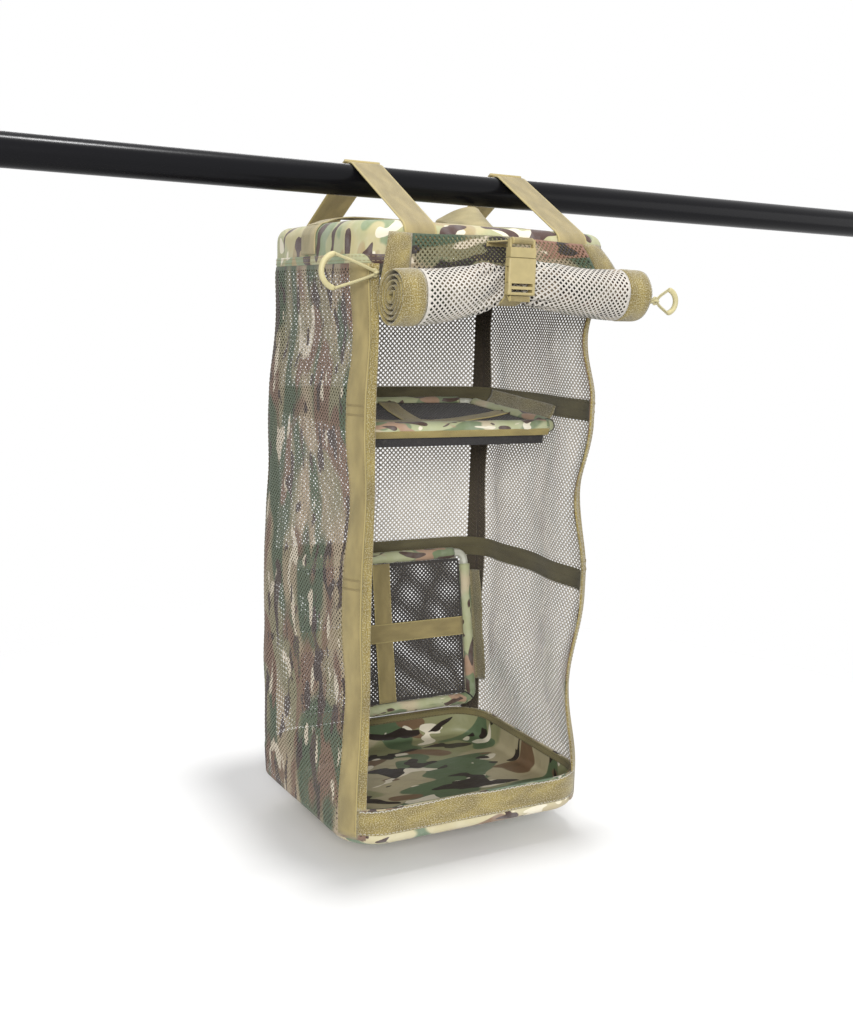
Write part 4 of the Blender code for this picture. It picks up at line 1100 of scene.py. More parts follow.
@dataclass
class Studio:
    """The camera, the lights, the bar that the shelf hangs from and the pale floor."""

    distance: float = 1.4481
    azimuth: float = 28.48
    elevation: float = 9.61
    roll: float = 1.81
    aim: float = 0.3486
    lens: float = 41.84
    shift: tuple[float, float] = (-0.0012, 0.0024)
    bar_radius: float = 0.0175
    bar_length: float = 3.0
    floor_gap: float = 0.036
    floor_radius: float = 1.3
    sides: int = 64

    def build(self, plan: BodyPlan) -> None:
        """Sets the studio up round the body's plan."""
        self.camera(plan)
        self.lights(plan)
        self.floor(plan)
        self.bar()

    def camera(self, plan: BodyPlan) -> None:
        """Puts the camera where the picture was taken from."""
        turn, tip, lean = (math.radians(a) for a in (self.azimuth, self.elevation, self.roll))
        look = Vector((math.sin(turn) * math.cos(tip), math.cos(turn) * math.cos(tip), -math.sin(tip)))
        right = Vector((math.cos(turn), -math.sin(turn), 0))
        up = right.cross(look)
        side = math.cos(lean) * right + math.sin(lean) * up
        top = math.cos(lean) * up - math.sin(lean) * right
        data = bpy.data.cameras.new("camera")
        data.lens = self.lens
        data.sensor_width = 36
        data.shift_x, data.shift_y = self.shift
        data.clip_end = 60
        camera = stand("camera", data)
        place = Vector((0, 0, plan.base + self.aim)) - look * self.distance
        camera.matrix_world = Matrix((side, top, -look)).transposed().to_4x4()
        camera.matrix_world.translation = place
        bpy.context.scene.camera = camera

    def lights(self, plan: BodyPlan) -> None:
        """Hangs four soft boxes and a plain pale world."""
        middle = Vector((0, 0, (plan.base + plan.cap_top) / 2))
        boxes = (
            ("key soft box", (-1.3, -2.4, 0.8), 1.0, 54),
            ("fill soft box", (2.2, -1.6, 0.4), 2.0, 13),
            ("back soft box", (0.6, 1.9, 1.2), 1.6, 13),
            ("top soft box", (0.10, -0.36, 3.2), 0.36, 54),
        )
        for name, place, size, power in boxes:
            data = bpy.data.lights.new(name, "AREA")
            data.shape, data.size, data.energy = "DISK", size, power
            light = stand(name, data)
            light.location = middle + Vector(place)
            light.rotation_euler = (-Vector(place)).to_track_quat("-Z", "Y").to_euler()
        world = bpy.data.worlds.new("studio")
        bpy.context.scene.world = world
        world.use_nodes = True
        nodes, links = world.node_tree.nodes, world.node_tree.links
        ground = nodes["Background"]
        ground.inputs["Color"].default_value = (1, 1, 1, 1)
        path = nodes.new("ShaderNodeLightPath")
        seen = path.outputs["Is Camera Ray"]
        for ray in ("Is Glossy Ray", "Is Transmission Ray"):
            either = nodes.new("ShaderNodeMath")
            either.operation = "MAXIMUM"
            links.new(seen, either.inputs[0])
            links.new(path.outputs[ray], either.inputs[1])
            seen = either.outputs[0]
        strength = nodes.new("ShaderNodeMapRange")
        strength.inputs["To Min"].default_value = 0.44
        strength.inputs["To Max"].default_value = 1.0
        links.new(seen, strength.inputs["Value"])
        links.new(strength.outputs[0], ground.inputs["Strength"])
        bpy.context.scene.view_settings.view_transform = "Standard"

    def floor(self, plan: BodyPlan) -> None:
        """Lays a pale floor close under the tray. It fades into the white of the world."""
        sketch = Sketch("studio floor")
        place = sketch.solid()
        seen = sketch.node("LightPath").outputs["Is Camera Ray"]
        tone = sketch.mix(seen, (0.80, 0.80, 0.80), (0.92, 0.92, 0.92))
        sketch.feed(sketch.shader.inputs["Base Color"], tone)
        sketch.shader.inputs["Roughness"].default_value = 1.0
        sketch.shader.inputs["Specular IOR Level"].default_value = 0.0
        level = sketch.scaled(place, (1.0, 1.0, 0.0))
        away = sketch.node("VectorMath", {0: level}, operation="LENGTH").outputs["Value"]
        sketch.feed(sketch.shader.inputs["Alpha"], sketch.ramp(away, 1.2, 0.55))
        turn, reach = circle(self.sides), self.floor_radius
        ring = joined(reach * np.cos(turn), reach * np.sin(turn), plan.base - self.floor_gap)
        self.prop("studio_floor", ring, [list(range(self.sides))], sketch)

    def bar(self) -> None:
        """The glossy black tube that stands in for whatever the shelf hangs from."""
        sketch = Sketch("bar lacquer")
        place = sketch.solid()
        specks = sketch.noise(place, 300.0, 2.0)
        rough = sketch.spread(specks, 0.20, 0.30)
        sketch.surface(shade(16, 16, 19), rough, specks, 0.00002, Specular_IOR_Level=0.14)
        turn, sides, half = circle(self.sides), self.sides, self.bar_length / 2
        ring = self.bar_radius * np.cos(turn), self.bar_radius * np.sin(turn)
        faces = [[k, (k + 1) % sides, sides + (k + 1) % sides, sides + k] for k in range(sides)]
        ends = np.concatenate([joined(x, *ring) for x in (-half, half)])
        tube = self.prop("stage_bar", ends, faces, sketch)
        tube.data.shade_smooth()
        tube.visible_shadow = False

    @staticmethod
    def prop(name: str, points: Array, faces: list[list[int]], sketch: Sketch) -> bpy.types.Object:
        """Makes a piece of the studio, which is no piece of the shelf."""
        mesh = bpy.data.meshes.new(name)
        mesh.from_pydata([tuple(p) for p in points], [], faces)
        mesh.materials.append(sketch.material)
        obj = stand(name, mesh)
        return obj


def strip_profile(thick: float) -> tuple[Array, Array]:
    """Where the rows across a tape lie, from 0 to 1, and how far its face drops at each."""
    part = np.array([0.0, 0.03, 0.10, 0.3, 0.5, 0.7, 0.90, 0.97, 1.0])
    return part, thick * np.array([0.6, 0.15, 0.0, -0.05, -0.08, -0.05, 0.0, 0.15, 0.6])


def seam_run(start: float, end: float, step: float = 0.0045) -> Array:
    """Where the stitches of a seam lie between its two ends."""
    return np.arange(start + step, end - step / 2, step)


@dataclass
class Assembly:
    """A group of the shelf's pieces, made on the body's plan in the workroom's finishes."""

    plan: BodyPlan
    room: Workroom
    body = "shelf_body"

    def ring_seam(self, sewing: Cutting, s: Array, z: float, out: float, long: float) -> None:
        """Adds stitches round the body's flat outline.

        Args:
            sewing: The mesh that they are added to.
            s: Their places round the body.
            z: Their height.
            out: How far out they are. Below 0 they lie on the cloth's inner side.
            long: How long one is.
        """
        here = self.plan.ring(s, 0.0, 0.0)
        along = self.plan.ring(s + 0.001, 0.0, 0.0) - here
        away = self.plan.ring(s, 0.0, math.copysign(1, out)) - here
        sewing.stitches(self.plan.ring(s, z, out), along, away, long, 0.0006)

    def dress(self, name: str, material: Material) -> None:
        """Gives a hard piece, which keeps the part's own form, its material."""
        frame["nodes"][name].data.materials[0] = material


@dataclass(frozen=True)
class Upright:
    """A kind of webbing or tape that runs up the walls on both sides, with its seams."""

    name: str
    node: str
    slot: Slot
    start: float
    width: float
    thick: float
    low: float
    seams: tuple[float, ...]
    sewn: tuple[float, float]
    raised: float = 0.0001
    step: float = 0.0045


@dataclass
class Walls(Assembly):
    """The three mesh walls with their webbing, loop tapes and shelf bands."""

    lattice: HoleLattice = HoleLattice()
    cloth: float = 0.0005
    webbing: float = 0.025
    strap: float = 0.0016
    tape: float = 0.002
    tape_width: float = 0.010
    gap: float = 0.0003
    lip_height: float = 0.030
    lip_wave: float = 0.0012
    cover: float = 0.0014
    foot: float = 0.009
    webbing_foot: float = 0.012
    seam_inset: float = 0.0022
    unsewn: float = 0.020
    tack_rows: tuple[float, float] = (-0.005, 0.005)
    tack_step: float = 0.0011
    tack_stitch: tuple[float, float] = (0.0026, 0.0008)
    lip_step: float = 0.0034
    lip_stitch: tuple[float, float] = (0.0036, 0.0013)
    tacks: tuple[float, float] = (0.299, 0.487)

    def build(self) -> None:
        """Makes every piece of the walls."""
        plan = self.plan
        low, high = plan.tray_top + self.gap, plan.seam - self.gap
        left = plan.opening, plan.back_seam - self.gap
        back = plan.back_seam + self.gap, plan.total - plan.back_seam - self.gap
        right = plan.total - left[1], plan.total - left[0]
        foot = plan.base + self.foot
        walls = ("left", left, foot), ("back", back, low), ("right", right, foot)
        for name, (start, end), bottom in walls:
            self.panel(name + "_mesh_panel", start, end, bottom, high)
        self.uprights(high)
        self.lip_tape()
        self.bands()

    def panel(self, name: str, start: float, end: float, low: float, high: float) -> None:
        """One mesh wall between two distances round the body and two heights."""
        cutting = Cutting()

        def place(u: Array, v: Array, face: Face) -> Array:
            """The wall's points from their places on the cloth."""
            over = self.cover * np.clip((self.plan.tray_top + 0.004 - low - v) / 0.006, 0, 1)
            return self.plan.wall(end - u, low + v, over - self.cloth * face.value)

        self.lattice.cut(cutting, end - start, high - low, place)
        flat = np.concatenate(cutting.cloth)
        # The inner faces within half a webbing's width of either side edge take the dark seam yarn: painted
        # shade along the corners.
        for faces, tones in zip(cutting.faces, cutting.shades):
            u = flat[faces, 0].mean(1)
            sewn = np.minimum(u, end - start - u) < self.webbing / 2
            tones[sewn & (tones == 1)] = 2
        finishes = self.room.mesh_print, self.room.mesh_yarn, self.room.seam_shade_yarn
        piece = cutting.piece("cloth_" + name, Slot.MESH, self.body, *finishes, node=name)

    def level(
        self,
        cutting: Cutting,
        start: float,
        end: float,
        low: float,
        high: float,
        face: float,
        wave: float = 0.0,
    ) -> None:
        """Adds a strip of tape that runs round the wall.

        Args:
            cutting: The mesh that it is added to.
            start: Where it starts, as a distance round the body.
            end: Where it ends.
            low: Its lower edge.
            high: Its upper edge.
            face: How far its front stands out from the wall.
            wave: How far its upper edge wanders.
        """
        part, drop = (row[:, None] for row in strip_profile(self.tape))
        s = np.linspace(end, start, max(8, int((end - start) / 0.005)))
        z = low + (high - low) * part + self.wander(s, wave) * part**2
        outer, inner = (self.plan.wall(s, z, out) for out in (face - drop, face - self.tape + 0.25 * drop))
        cutting.slab(outer, inner, joined((part - 0.5) * (high - low), s))

    @staticmethod
    def wander(s: Array, wave: float) -> Array:
        """How far a cut edge strays up or down at distances round the body."""
        return wave * (np.sin(31 * s + 0.6) + 0.5 * np.sin(74 * s))

    def seam(
        self, sewing: Cutting, s: Array | float, z: Array | float, out: float, step: float = 0.0045
    ) -> None:
        """Adds a row of stitches round the wall or up it.

        Args:
            sewing: The mesh that it is added to.
            s: Its place round the body, or one for each stitch.
            z: Its height, or one for each stitch.
            out: How far it stands out from the wall.
            step: How far apart its stitches are.
        """
        places = self.plan.wall(s, z, out)
        ahead = self.plan.wall(s + 0.001, z, out) if np.ndim(s) else self.plan.wall(s, z + 0.001, out)
        away = self.plan.wall(s, z, out + math.copysign(0.01, out)) - places
        sewing.stitches(places, ahead - places, away, step * 0.72, 0.0007)

    def uprights(self, high: float) -> None:
        """The webbing down the four corners, and the loop tape down both edges of the opening."""
        plan, room = self.plan, self.room
        foot, lip = plan.base + self.webbing_foot, plan.tray_top - self.gap
        edges = self.seam_inset, self.webbing - self.seam_inset
        first = plan.opening + self.tape_width + self.gap
        sizes = first, self.webbing, self.strap, foot, edges, (foot + 0.004, high)
        front = Upright("corner_webbing", "front_webbing", Slot.WEBBING, *sizes)
        first = plan.back_seam - self.webbing / 2
        rear = replace(front, name="rear_webbing", node="back_webbing", start=first, step=0.0055)
        sizes = plan.opening, self.tape_width, self.tape, lip + self.gap, (self.tape_width / 2,)
        sewn = lip + 0.004, high - self.unsewn
        tape = Upright("edge_tape", "edge_loop_tape", Slot.LOOP_TAPE, *sizes, sewn, 0.0002)
        # room.rear is the corner webbing darkened as painted shade, for the webbing at the back corners.
        for strip, finish in ((front, room.webbing), (rear, room.rear), (tape, room.pile)):
            for side, start in (("left", strip.start), ("right", plan.total - strip.start - strip.width)):
                name, face = f"{side}_{strip.name}", self.gap + strip.thick
                cutting = Cutting()
                self.upright(cutting, strip, start, high)
                cutting.piece(name, strip.slot, self.body, finish, node=f"{side}_{strip.node}")
                sewing = Cutting()
                for across in strip.seams:
                    z = seam_run(*strip.sewn, strip.step)
                    self.seam(sewing, start + across, z, face + strip.raised, strip.step)
                if strip is front:
                    self.bar_tacks(sewing, start, face)
                sewing.piece(name + "_stitches", strip.slot, self.body, room.thread)

    def upright(self, cutting: Cutting, strip: Upright, start: float, high: float) -> None:
        """Adds a strip that runs up the wall.

        Args:
            cutting: The mesh that it is added to.
            strip: Its sizes.
            start: Its edge nearer the middle of the front, as a distance round the body.
            high: Its upper end.
        """
        part, drop = strip_profile(strip.thick)
        z = np.linspace(strip.low, high, max(6, int((high - strip.low) / 0.006)))[:, None]
        s = start + strip.width * (1 - part)
        outer, inner = (self.plan.wall(s, z, self.gap + out) for out in (strip.thick - drop, 0.25 * drop))
        cutting.slab(outer, inner, joined((part - 0.5) * strip.width, z))

    def bar_tacks(self, sewing: Cutting, start: float, face: float) -> None:
        """Adds the close rows of stitches that hold the shelf bands to a front webbing."""
        s = start + np.arange(0.003, self.webbing - 0.002, self.tack_step)
        for level in self.tacks:
            for row in self.tack_rows:
                z = self.plan.base + level + row
                places = self.plan.wall(s, z, face + 0.0002)
                away = self.plan.wall(s, z, face + 0.01) - places
                up = (0.0, 0.0, 1.0) + 0.25 * unit(np.gradient(places, axis=0))
                sewing.stitches(places, up, away, *self.tack_stitch)

    def lip_tape(self) -> None:
        """The wide loop tape along the tray's lip."""
        face, top = self.gap + self.tape, self.plan.tray_top - self.gap
        low, reach = top - self.lip_height, self.plan.opening + self.tape_width
        cutting = Cutting()
        self.level(cutting, -reach, reach, low, top, face, self.lip_wave)
        cutting.piece("lip_tape", Slot.LOOP_TAPE, self.body, self.room.pile, node="lip_loop_tape")
        sewing = Cutting()
        self.seam(sewing, seam_run(-reach, reach), low + 0.0025, face + 0.0003)
        s = np.arange(-reach + 0.004, reach - 0.003, self.lip_step)
        edge = top - 0.0006 + self.wander(s, self.lip_wave)
        places, zigzag = self.plan.wall(s, edge, face - 0.0004), 0.0006 * (-1.0) ** np.arange(len(s))
        slant = self.plan.wall(s + 0.0012, edge + zigzag, face) - self.plan.wall(s, edge, face)
        away = self.plan.wall(s, edge, face + 0.01) - places
        sewing.stitches(places, slant, away, *self.lip_stitch)
        sewing.piece("lip_tape_stitches", Slot.LOOP_TAPE, self.body, self.room.pale_thread)

    def bands(self) -> None:
        """The two webbing bands that carry the shelves, round the inside of the walls."""
        start = self.plan.opening + self.tape_width + self.gap
        end, half, step = self.plan.total - start, self.plan.band_height / 2, 0.005
        face = -(0.0012 + self.gap)
        for name, middle in zip(("lower", "upper"), self.plan.bands):
            low, high = middle - half, middle + half
            cutting = Cutting()
            self.level(cutting, start, end, low, high, face)
            finish, node = self.room.band, f"{name}_wall_band"
            cutting.piece(f"{name}_shelf_band", Slot.WEBBING, self.body, finish, node=node)
            sewing = Cutting()
            for z in (low + 0.003, middle, high - 0.003):
                self.seam(sewing, seam_run(start, end, step), z, face - self.tape - 0.0001, step)
            sewing.piece(f"{name}_shelf_band_stitches", Slot.WEBBING, self.body, self.room.dark_thread)


@dataclass
class Cap(Assembly):
    """The padded cap: a cover with a soft rounded edge, its hem, and the stiff board inside."""

    edge: float = 0.016
    padding: float = 0.003
    crown: float = 0.0045
    flat_from: float = 0.038
    face_length: float = 0.062
    hem: float = 0.009
    stitch: float = 0.0034
    around: int = 220

    def profile(self) -> list[tuple[float, float, float]]:
        """How far in, how high and how near the middle the cover's rows are, from its hem up."""
        top, seam = self.plan.cap_top, self.plan.seam
        rows = [(0.0, z, 0.0) for z in np.linspace(seam, top - self.edge, 7)]
        for k in range(1, 7):
            turn = math.pi / 2 * k / 6
            rows.append((self.edge * (1 - math.cos(turn)), top - self.edge * (1 - math.sin(turn)), 0.0))
        rows += [(inset, top, 0.0) for inset in (0.022, 0.030, self.flat_from)]
        shares = 0.08, 0.18, 0.3, 0.42, 0.55, 0.68, 0.8, 0.9, 0.97
        return rows + [(self.flat_from, top, q) for q in shares]

    def rows(self, inward: float) -> tuple[Array, Array]:
        """The cover's grid.

        Args:
            inward: How far inside the cover's outside it lies.

        Returns:
            The grid's points and their places on the cloth.
        """
        s = np.linspace(self.plan.total, 0, self.around, endpoint=False)
        outline, normal = self.plan.outline(s)
        points, cloth = [], []
        drop, before = self.face_length, None
        for inset, z, q in self.profile():
            flat = (outline - normal * (inset + inward)) * (1 - q)
            if before is not None and q == 0:
                drop -= math.dist(before, (inset, z))
            before = inset, z
            rise = self.crown * (1 - (1 - q) ** 2)
            on_top = np.clip((z - (self.plan.cap_top - self.edge)) / self.edge, 0, 1)
            quilt = ripple(flat[:, 0] * 42, flat[:, 1] * 38, 2.2)
            side = ripple(s * 48, np.full_like(s, z * 60), 0.4)
            dip = -0.0006 * (1 + side) * math.sin(math.pi * np.clip((z - self.plan.seam) / 0.045, 0, 1))
            flat = flat + normal * (dip * (1 - on_top))[:, None]
            points.append(np.column_stack([flat, z + rise - inward * on_top + 0.0007 * quilt * on_top]))
            cloth.append((outline + normal * max(drop, -self.flat_from)) * (1 - q))
        return np.array(points), np.array(cloth)

    def build(self) -> None:
        """Makes the cover, the hem, the stitches, and dresses the board."""
        outer, cloth = self.rows(0.0)
        cutting = Cutting()
        cutting.shell(outer, self.rows(self.padding)[0], cloth, bowl=False)
        finishes = self.room.cap, self.room.mesh_yarn
        piece = cutting.piece("cap_cover", Slot.CAMO, self.body, *finishes, node="cap_shell")
        self.hem_binding()
        self.dress("cap_board", self.room.board)

    def hem_binding(self) -> None:
        """The folded hem round the cap's lower edge and its two rows of stitches."""
        s = np.linspace(self.plan.total, 0, self.around, endpoint=False)
        out = np.array([-0.0035, 0.0002, 0.0007, 0.0008, 0.0007, -0.001])[:, None]
        up = np.array([0.0, -0.0004, 0.001, 0.004, self.hem, self.hem + 0.0004])[:, None]
        cutting = Cutting()
        ring = cutting.grid(self.plan.ring(s, self.plan.seam + up, out), joined(up, s), around=True)
        ring = ring + np.arange(self.around)
        last = ring + (len(up) - 1) * self.around
        cutting.face(joined(np.roll(last, -1), np.roll(ring, -1), ring, last))
        cutting.piece("cap_hem", Slot.CAMO, self.body, self.room.cap)
        sewing = Cutting()
        s = np.arange(0, self.plan.total, 0.005)
        for up in (0.0025, self.hem - 0.002):
            self.ring_seam(sewing, s, self.plan.seam + up, 0.0009, self.stitch)
        sewing.piece("cap_hem_stitches", Slot.CAMO, self.body, self.room.thread)


@dataclass
class Tray(Assembly):
    """The tray: its printed outside, the laminated liner, the rim binding and the board."""

    wall: float = 0.002
    film: float = 0.001
    gap: float = 0.0003
    board: float = 0.0025
    edge: float = 0.012
    binding: float = 0.010
    binding_thick: float = 0.0016
    stitch: float = 0.0036
    around: int = 240

    def rows(self, inset: float, low: float, edge: float, crumple: float) -> tuple[Array, Array]:
        """The grid of one of the tray's layers, from the middle of its floor to its rim.

        Args:
            inset: How far inside the tray's outside the layer lies.
            low: The height of its floor.
            edge: The radius between its floor and its sides.
            crumple: How uneven it is.

        Returns:
            The grid's points and their places on the cloth.
        """
        s = np.linspace(self.plan.total, 0, self.around, endpoint=False)
        outline, normal = self.plan.outline(s)
        stops = [(inset + 0.036, low, q) for q in (0.97, 0.9, 0.8, 0.7, 0.6, 0.5, 0.4, 0.3, 0.2, 0.1, 0.04)]
        stops += [(inset + i, low, 0.0) for i in (0.036, 0.028, 0.020, edge + 0.001)]
        for k in range(1, 7):
            turn = math.pi / 2 * k / 6
            stops.append((inset + edge * (1 - math.sin(turn)), low + edge * (1 - math.cos(turn)), 0.0))
        stops += [(inset, z, 0.0) for z in np.linspace(low + edge, self.plan.tray_top, 7)[1:]]
        points, cloth, gone, before = [], [], -(inset + 0.036), None
        for depth, z, q in stops:
            flat = (outline - normal * depth) * (1 - q)
            if before is not None and q == 0:
                gone += math.dist(before, (depth, z))
            before = depth, z
            floor = 1 - np.clip((z - low) / edge, 0, 1)
            bump = crumple * ripple(flat[:, 0] * 55, flat[:, 1] * 47, 0.9) * floor
            rim = np.clip((self.plan.tray_top - z) / 0.012, 0, 1) * (1 - floor)
            dent = crumple * 0.8 * (ripple(s * 60, np.full_like(s, z * 70), 2.9) - 1) * rim
            flat = flat + normal * dent[:, None] * (1 - q)
            points.append(np.column_stack([flat, z + bump + abs(crumple) * floor]))
            cloth.append((outline + normal * gone) * (1 - q))
        return np.array(points), np.array(cloth)

    def build(self) -> None:
        """Makes the cover, the liner and the binding, and dresses the board."""
        edge, wall = self.edge - self.wall, self.wall
        inset = wall + self.gap
        low = self.plan.base + inset + self.board + self.gap
        base, film = self.plan.base, self.film
        cover = (0.0, base, self.edge, 0.0), (wall, base + wall, edge, 0.0)
        liner = (inset, low, edge, 0.0), (inset + film, low + film, edge - film, 0.0007)
        layers = (
            ("tray_cover", "tray_shell", Slot.CAMO, self.room.tray, *cover),
            ("tray_liner_film", "tray_liner", Slot.LAMINATE, self.room.liner, *liner),
        )
        for name, node, slot, finish, outside, inside in layers:
            outer, cloth = self.rows(*outside)
            cutting = Cutting()
            cutting.shell(outer, self.rows(*inside)[0], cloth, bowl=True)
            cutting.piece(name, slot, self.body, finish, finish, node=node)
        self.dress("tray_board", self.room.board)
        self.rim(inset + film)

    def rim(self, inset: float) -> None:
        """The tape that binds the rim inside, with its stitches."""
        plan = self.plan
        s = np.linspace(plan.total - plan.opening, plan.opening, 200)
        face, thick = inset + self.gap, self.binding_thick
        out = np.array([0.3, 1.0, 1.05, 1.1, 1.05, 1.0, 0.3])[:, None]
        up = np.array([0.0, 0.0008, 0.003, 0.005, 0.007, 0.0092, self.binding])[:, None]
        cutting = Cutting()
        front, back = (plan.ring(s, plan.tray_top - up, -(face + thick * far)) for far in (out, 0.0))
        cutting.slab(front, back, joined(up - self.binding / 2, s))
        cutting.piece("rim_binding", Slot.WEBBING, self.body, self.room.binding, node="tray_rim_binding")
        sewing = Cutting()
        s = np.arange(plan.opening + 0.004, plan.total - plan.opening - 0.002, 0.005)
        for up in (0.0016, 0.0084):
            self.ring_seam(sewing, s, plan.tray_top - up, -(face + thick * 1.1), self.stitch)
        sewing.piece("rim_binding_stitches", Slot.WEBBING, self.body, self.room.dark_thread)


@dataclass
class Suspension(Assembly):
    """The two straps over the bar, their sliders, and the carry handle across the cap."""

    width: float = 0.038
    thick: float = 0.0016
    inset: float = 0.065
    tab: float = 0.018
    stitch: tuple[float, float] = (0.0023, 0.0007)
    edge: float = 0.016
    bar: float = 0.0175
    gap: float = 0.0003
    lift: float = 0.0075
    fold_x: float = 0.032
    fold_length: float = 0.076
    fold_forward: float = 0.040
    fold_tilt: float = 40.0

    def build(self) -> None:
        """Makes the straps and the handle, and dresses the sliders."""
        path = self.strap_path()
        for side, sign in (("left", -1), ("right", 1)):
            self.strap(side, path + (sign * (self.plan.half_width - self.inset), 0, 0))
            self.dress(f"{side}_strap_slider", self.room.plastic)
        self.handle()

    def strap_path(self) -> Array:
        """The line of a strap: up the cap's front, over the bar and down the cap's back."""
        y, z = -(self.plan.half_depth - self.edge), self.plan.cap_top - self.edge
        round_cap = self.edge + 2 * self.gap + self.thick / 2
        round_bar = self.bar + 0.0005 + self.thick / 2
        slope = math.atan2(-z, -y) + math.asin((round_bar - round_cap) / math.hypot(y, z))
        turn = math.pi / 2 + slope
        cap, over = np.linspace(math.pi, turn, 12), np.linspace(turn, math.pi - turn, 28)
        front = (0.0, y, z) + round_cap * joined(0.0, np.cos(cap), np.sin(cap))
        over = round_bar * joined(0.0, np.cos(over), np.sin(over))
        tab = front[0] - self.tab * joined(0.0, 0.0, np.arange(5, 0, -1) / 5)
        free = front[-1] + (over[0] - front[-1]) * np.arange(1, 8)[:, None] / 8
        half = np.concatenate([tab, front, free])
        return np.concatenate([half, over, half[::-1] * (1, -1, 1)])

    def strap(self, side: str, path: Array) -> None:
        """One hanging strap with the stitching of its two sewn ends."""
        cutting = Cutting()
        cutting.sweep(path, np.array([1.0, 0, 0]), flat_section(self.width, self.thick)[::-1] * (1, -1))
        node = f"{side}_hanging_strap"
        cutting.piece(f"{side}_strap", Slot.WEBBING, self.body, self.room.strap, node=node)
        sewing = Cutting()
        half = self.width / 2 - 0.003
        low, high = path[0][2] + 0.003, path[0][2] + self.tab - 0.001
        box = np.array([(-half, low), (half, low), (half, high), (-half, high)])[[0, 1, 2, 3, 0, 2, 1, 3]]
        for sign in (-1, 1):
            y = sign * (self.plan.half_depth + 2 * self.gap + self.thick + 0.0001)
            for (xa, za), (xb, zb) in zip(box, box[1:]):
                count = max(2, int(math.hypot(xb - xa, zb - za) / 0.003))
                part = (np.arange(count) + 0.5)[:, None] / count
                along = np.broadcast_to((xb - xa, 0.0, zb - za), (count, 3))
                line = np.array([path[0][0] + xa, y, za]) + part * along
                away = np.broadcast_to((0.0, sign, 0.0), line.shape)
                sewing.stitches(line, along, away, *self.stitch)
        sewing.piece(f"{side}_strap_stitches", Slot.WEBBING, self.body, self.room.thread)

    def handle(self) -> None:
        """The handle lies across the cap, and its slack stands up in a tilted fold."""
        reach, low = self.plan.half_width - self.edge, self.plan.cap_top - self.edge
        radius = self.edge + 2 * self.gap + self.thick / 2
        knots = [(-reach - radius, 0.0, low - self.tab, 0.0)]
        for a in np.radians((180, 162, 145, 127, 110)):
            knots.append((-reach + radius * math.cos(a), 0.0, low + radius * math.sin(a), 0.0))
        top = self.plan.cap_top + self.lift + self.thick / 2
        end, half, forward = self.plan.half_width - 0.045, self.fold_length / 2, self.fold_forward
        rise = self.width / 2 * math.sin(math.radians(self.fold_tilt)) - self.lift / 2
        knots += [(-end, 0.0, top, 0.0), (self.fold_x - half, 0.0, top, 0.0)]
        for part, share in ((-0.36, 0.3), (-0.20, 0.8), (0.0, 1.0), (0.20, 0.8), (0.36, 0.3)):
            x = self.fold_x + part * self.fold_length
            knots.append((x, -forward * share, top + rise * share, share))
        knots.append((self.fold_x + half, 0.0, top, 0.0))
        knots += [(-x, y, z, share) for x, y, z, share in reversed(knots[:7])]
        line = smooth_path(knots, 6)
        tilt = np.radians(self.fold_tilt) * line[:, 3]
        cutting = Cutting()
        across = joined(0.0, np.cos(tilt), np.sin(tilt))
        cutting.sweep(line[:, :3], across, flat_section(self.width, self.thick))
        cutting.piece("handle_webbing", Slot.WEBBING, self.body, self.room.handle, node="carry_handle")


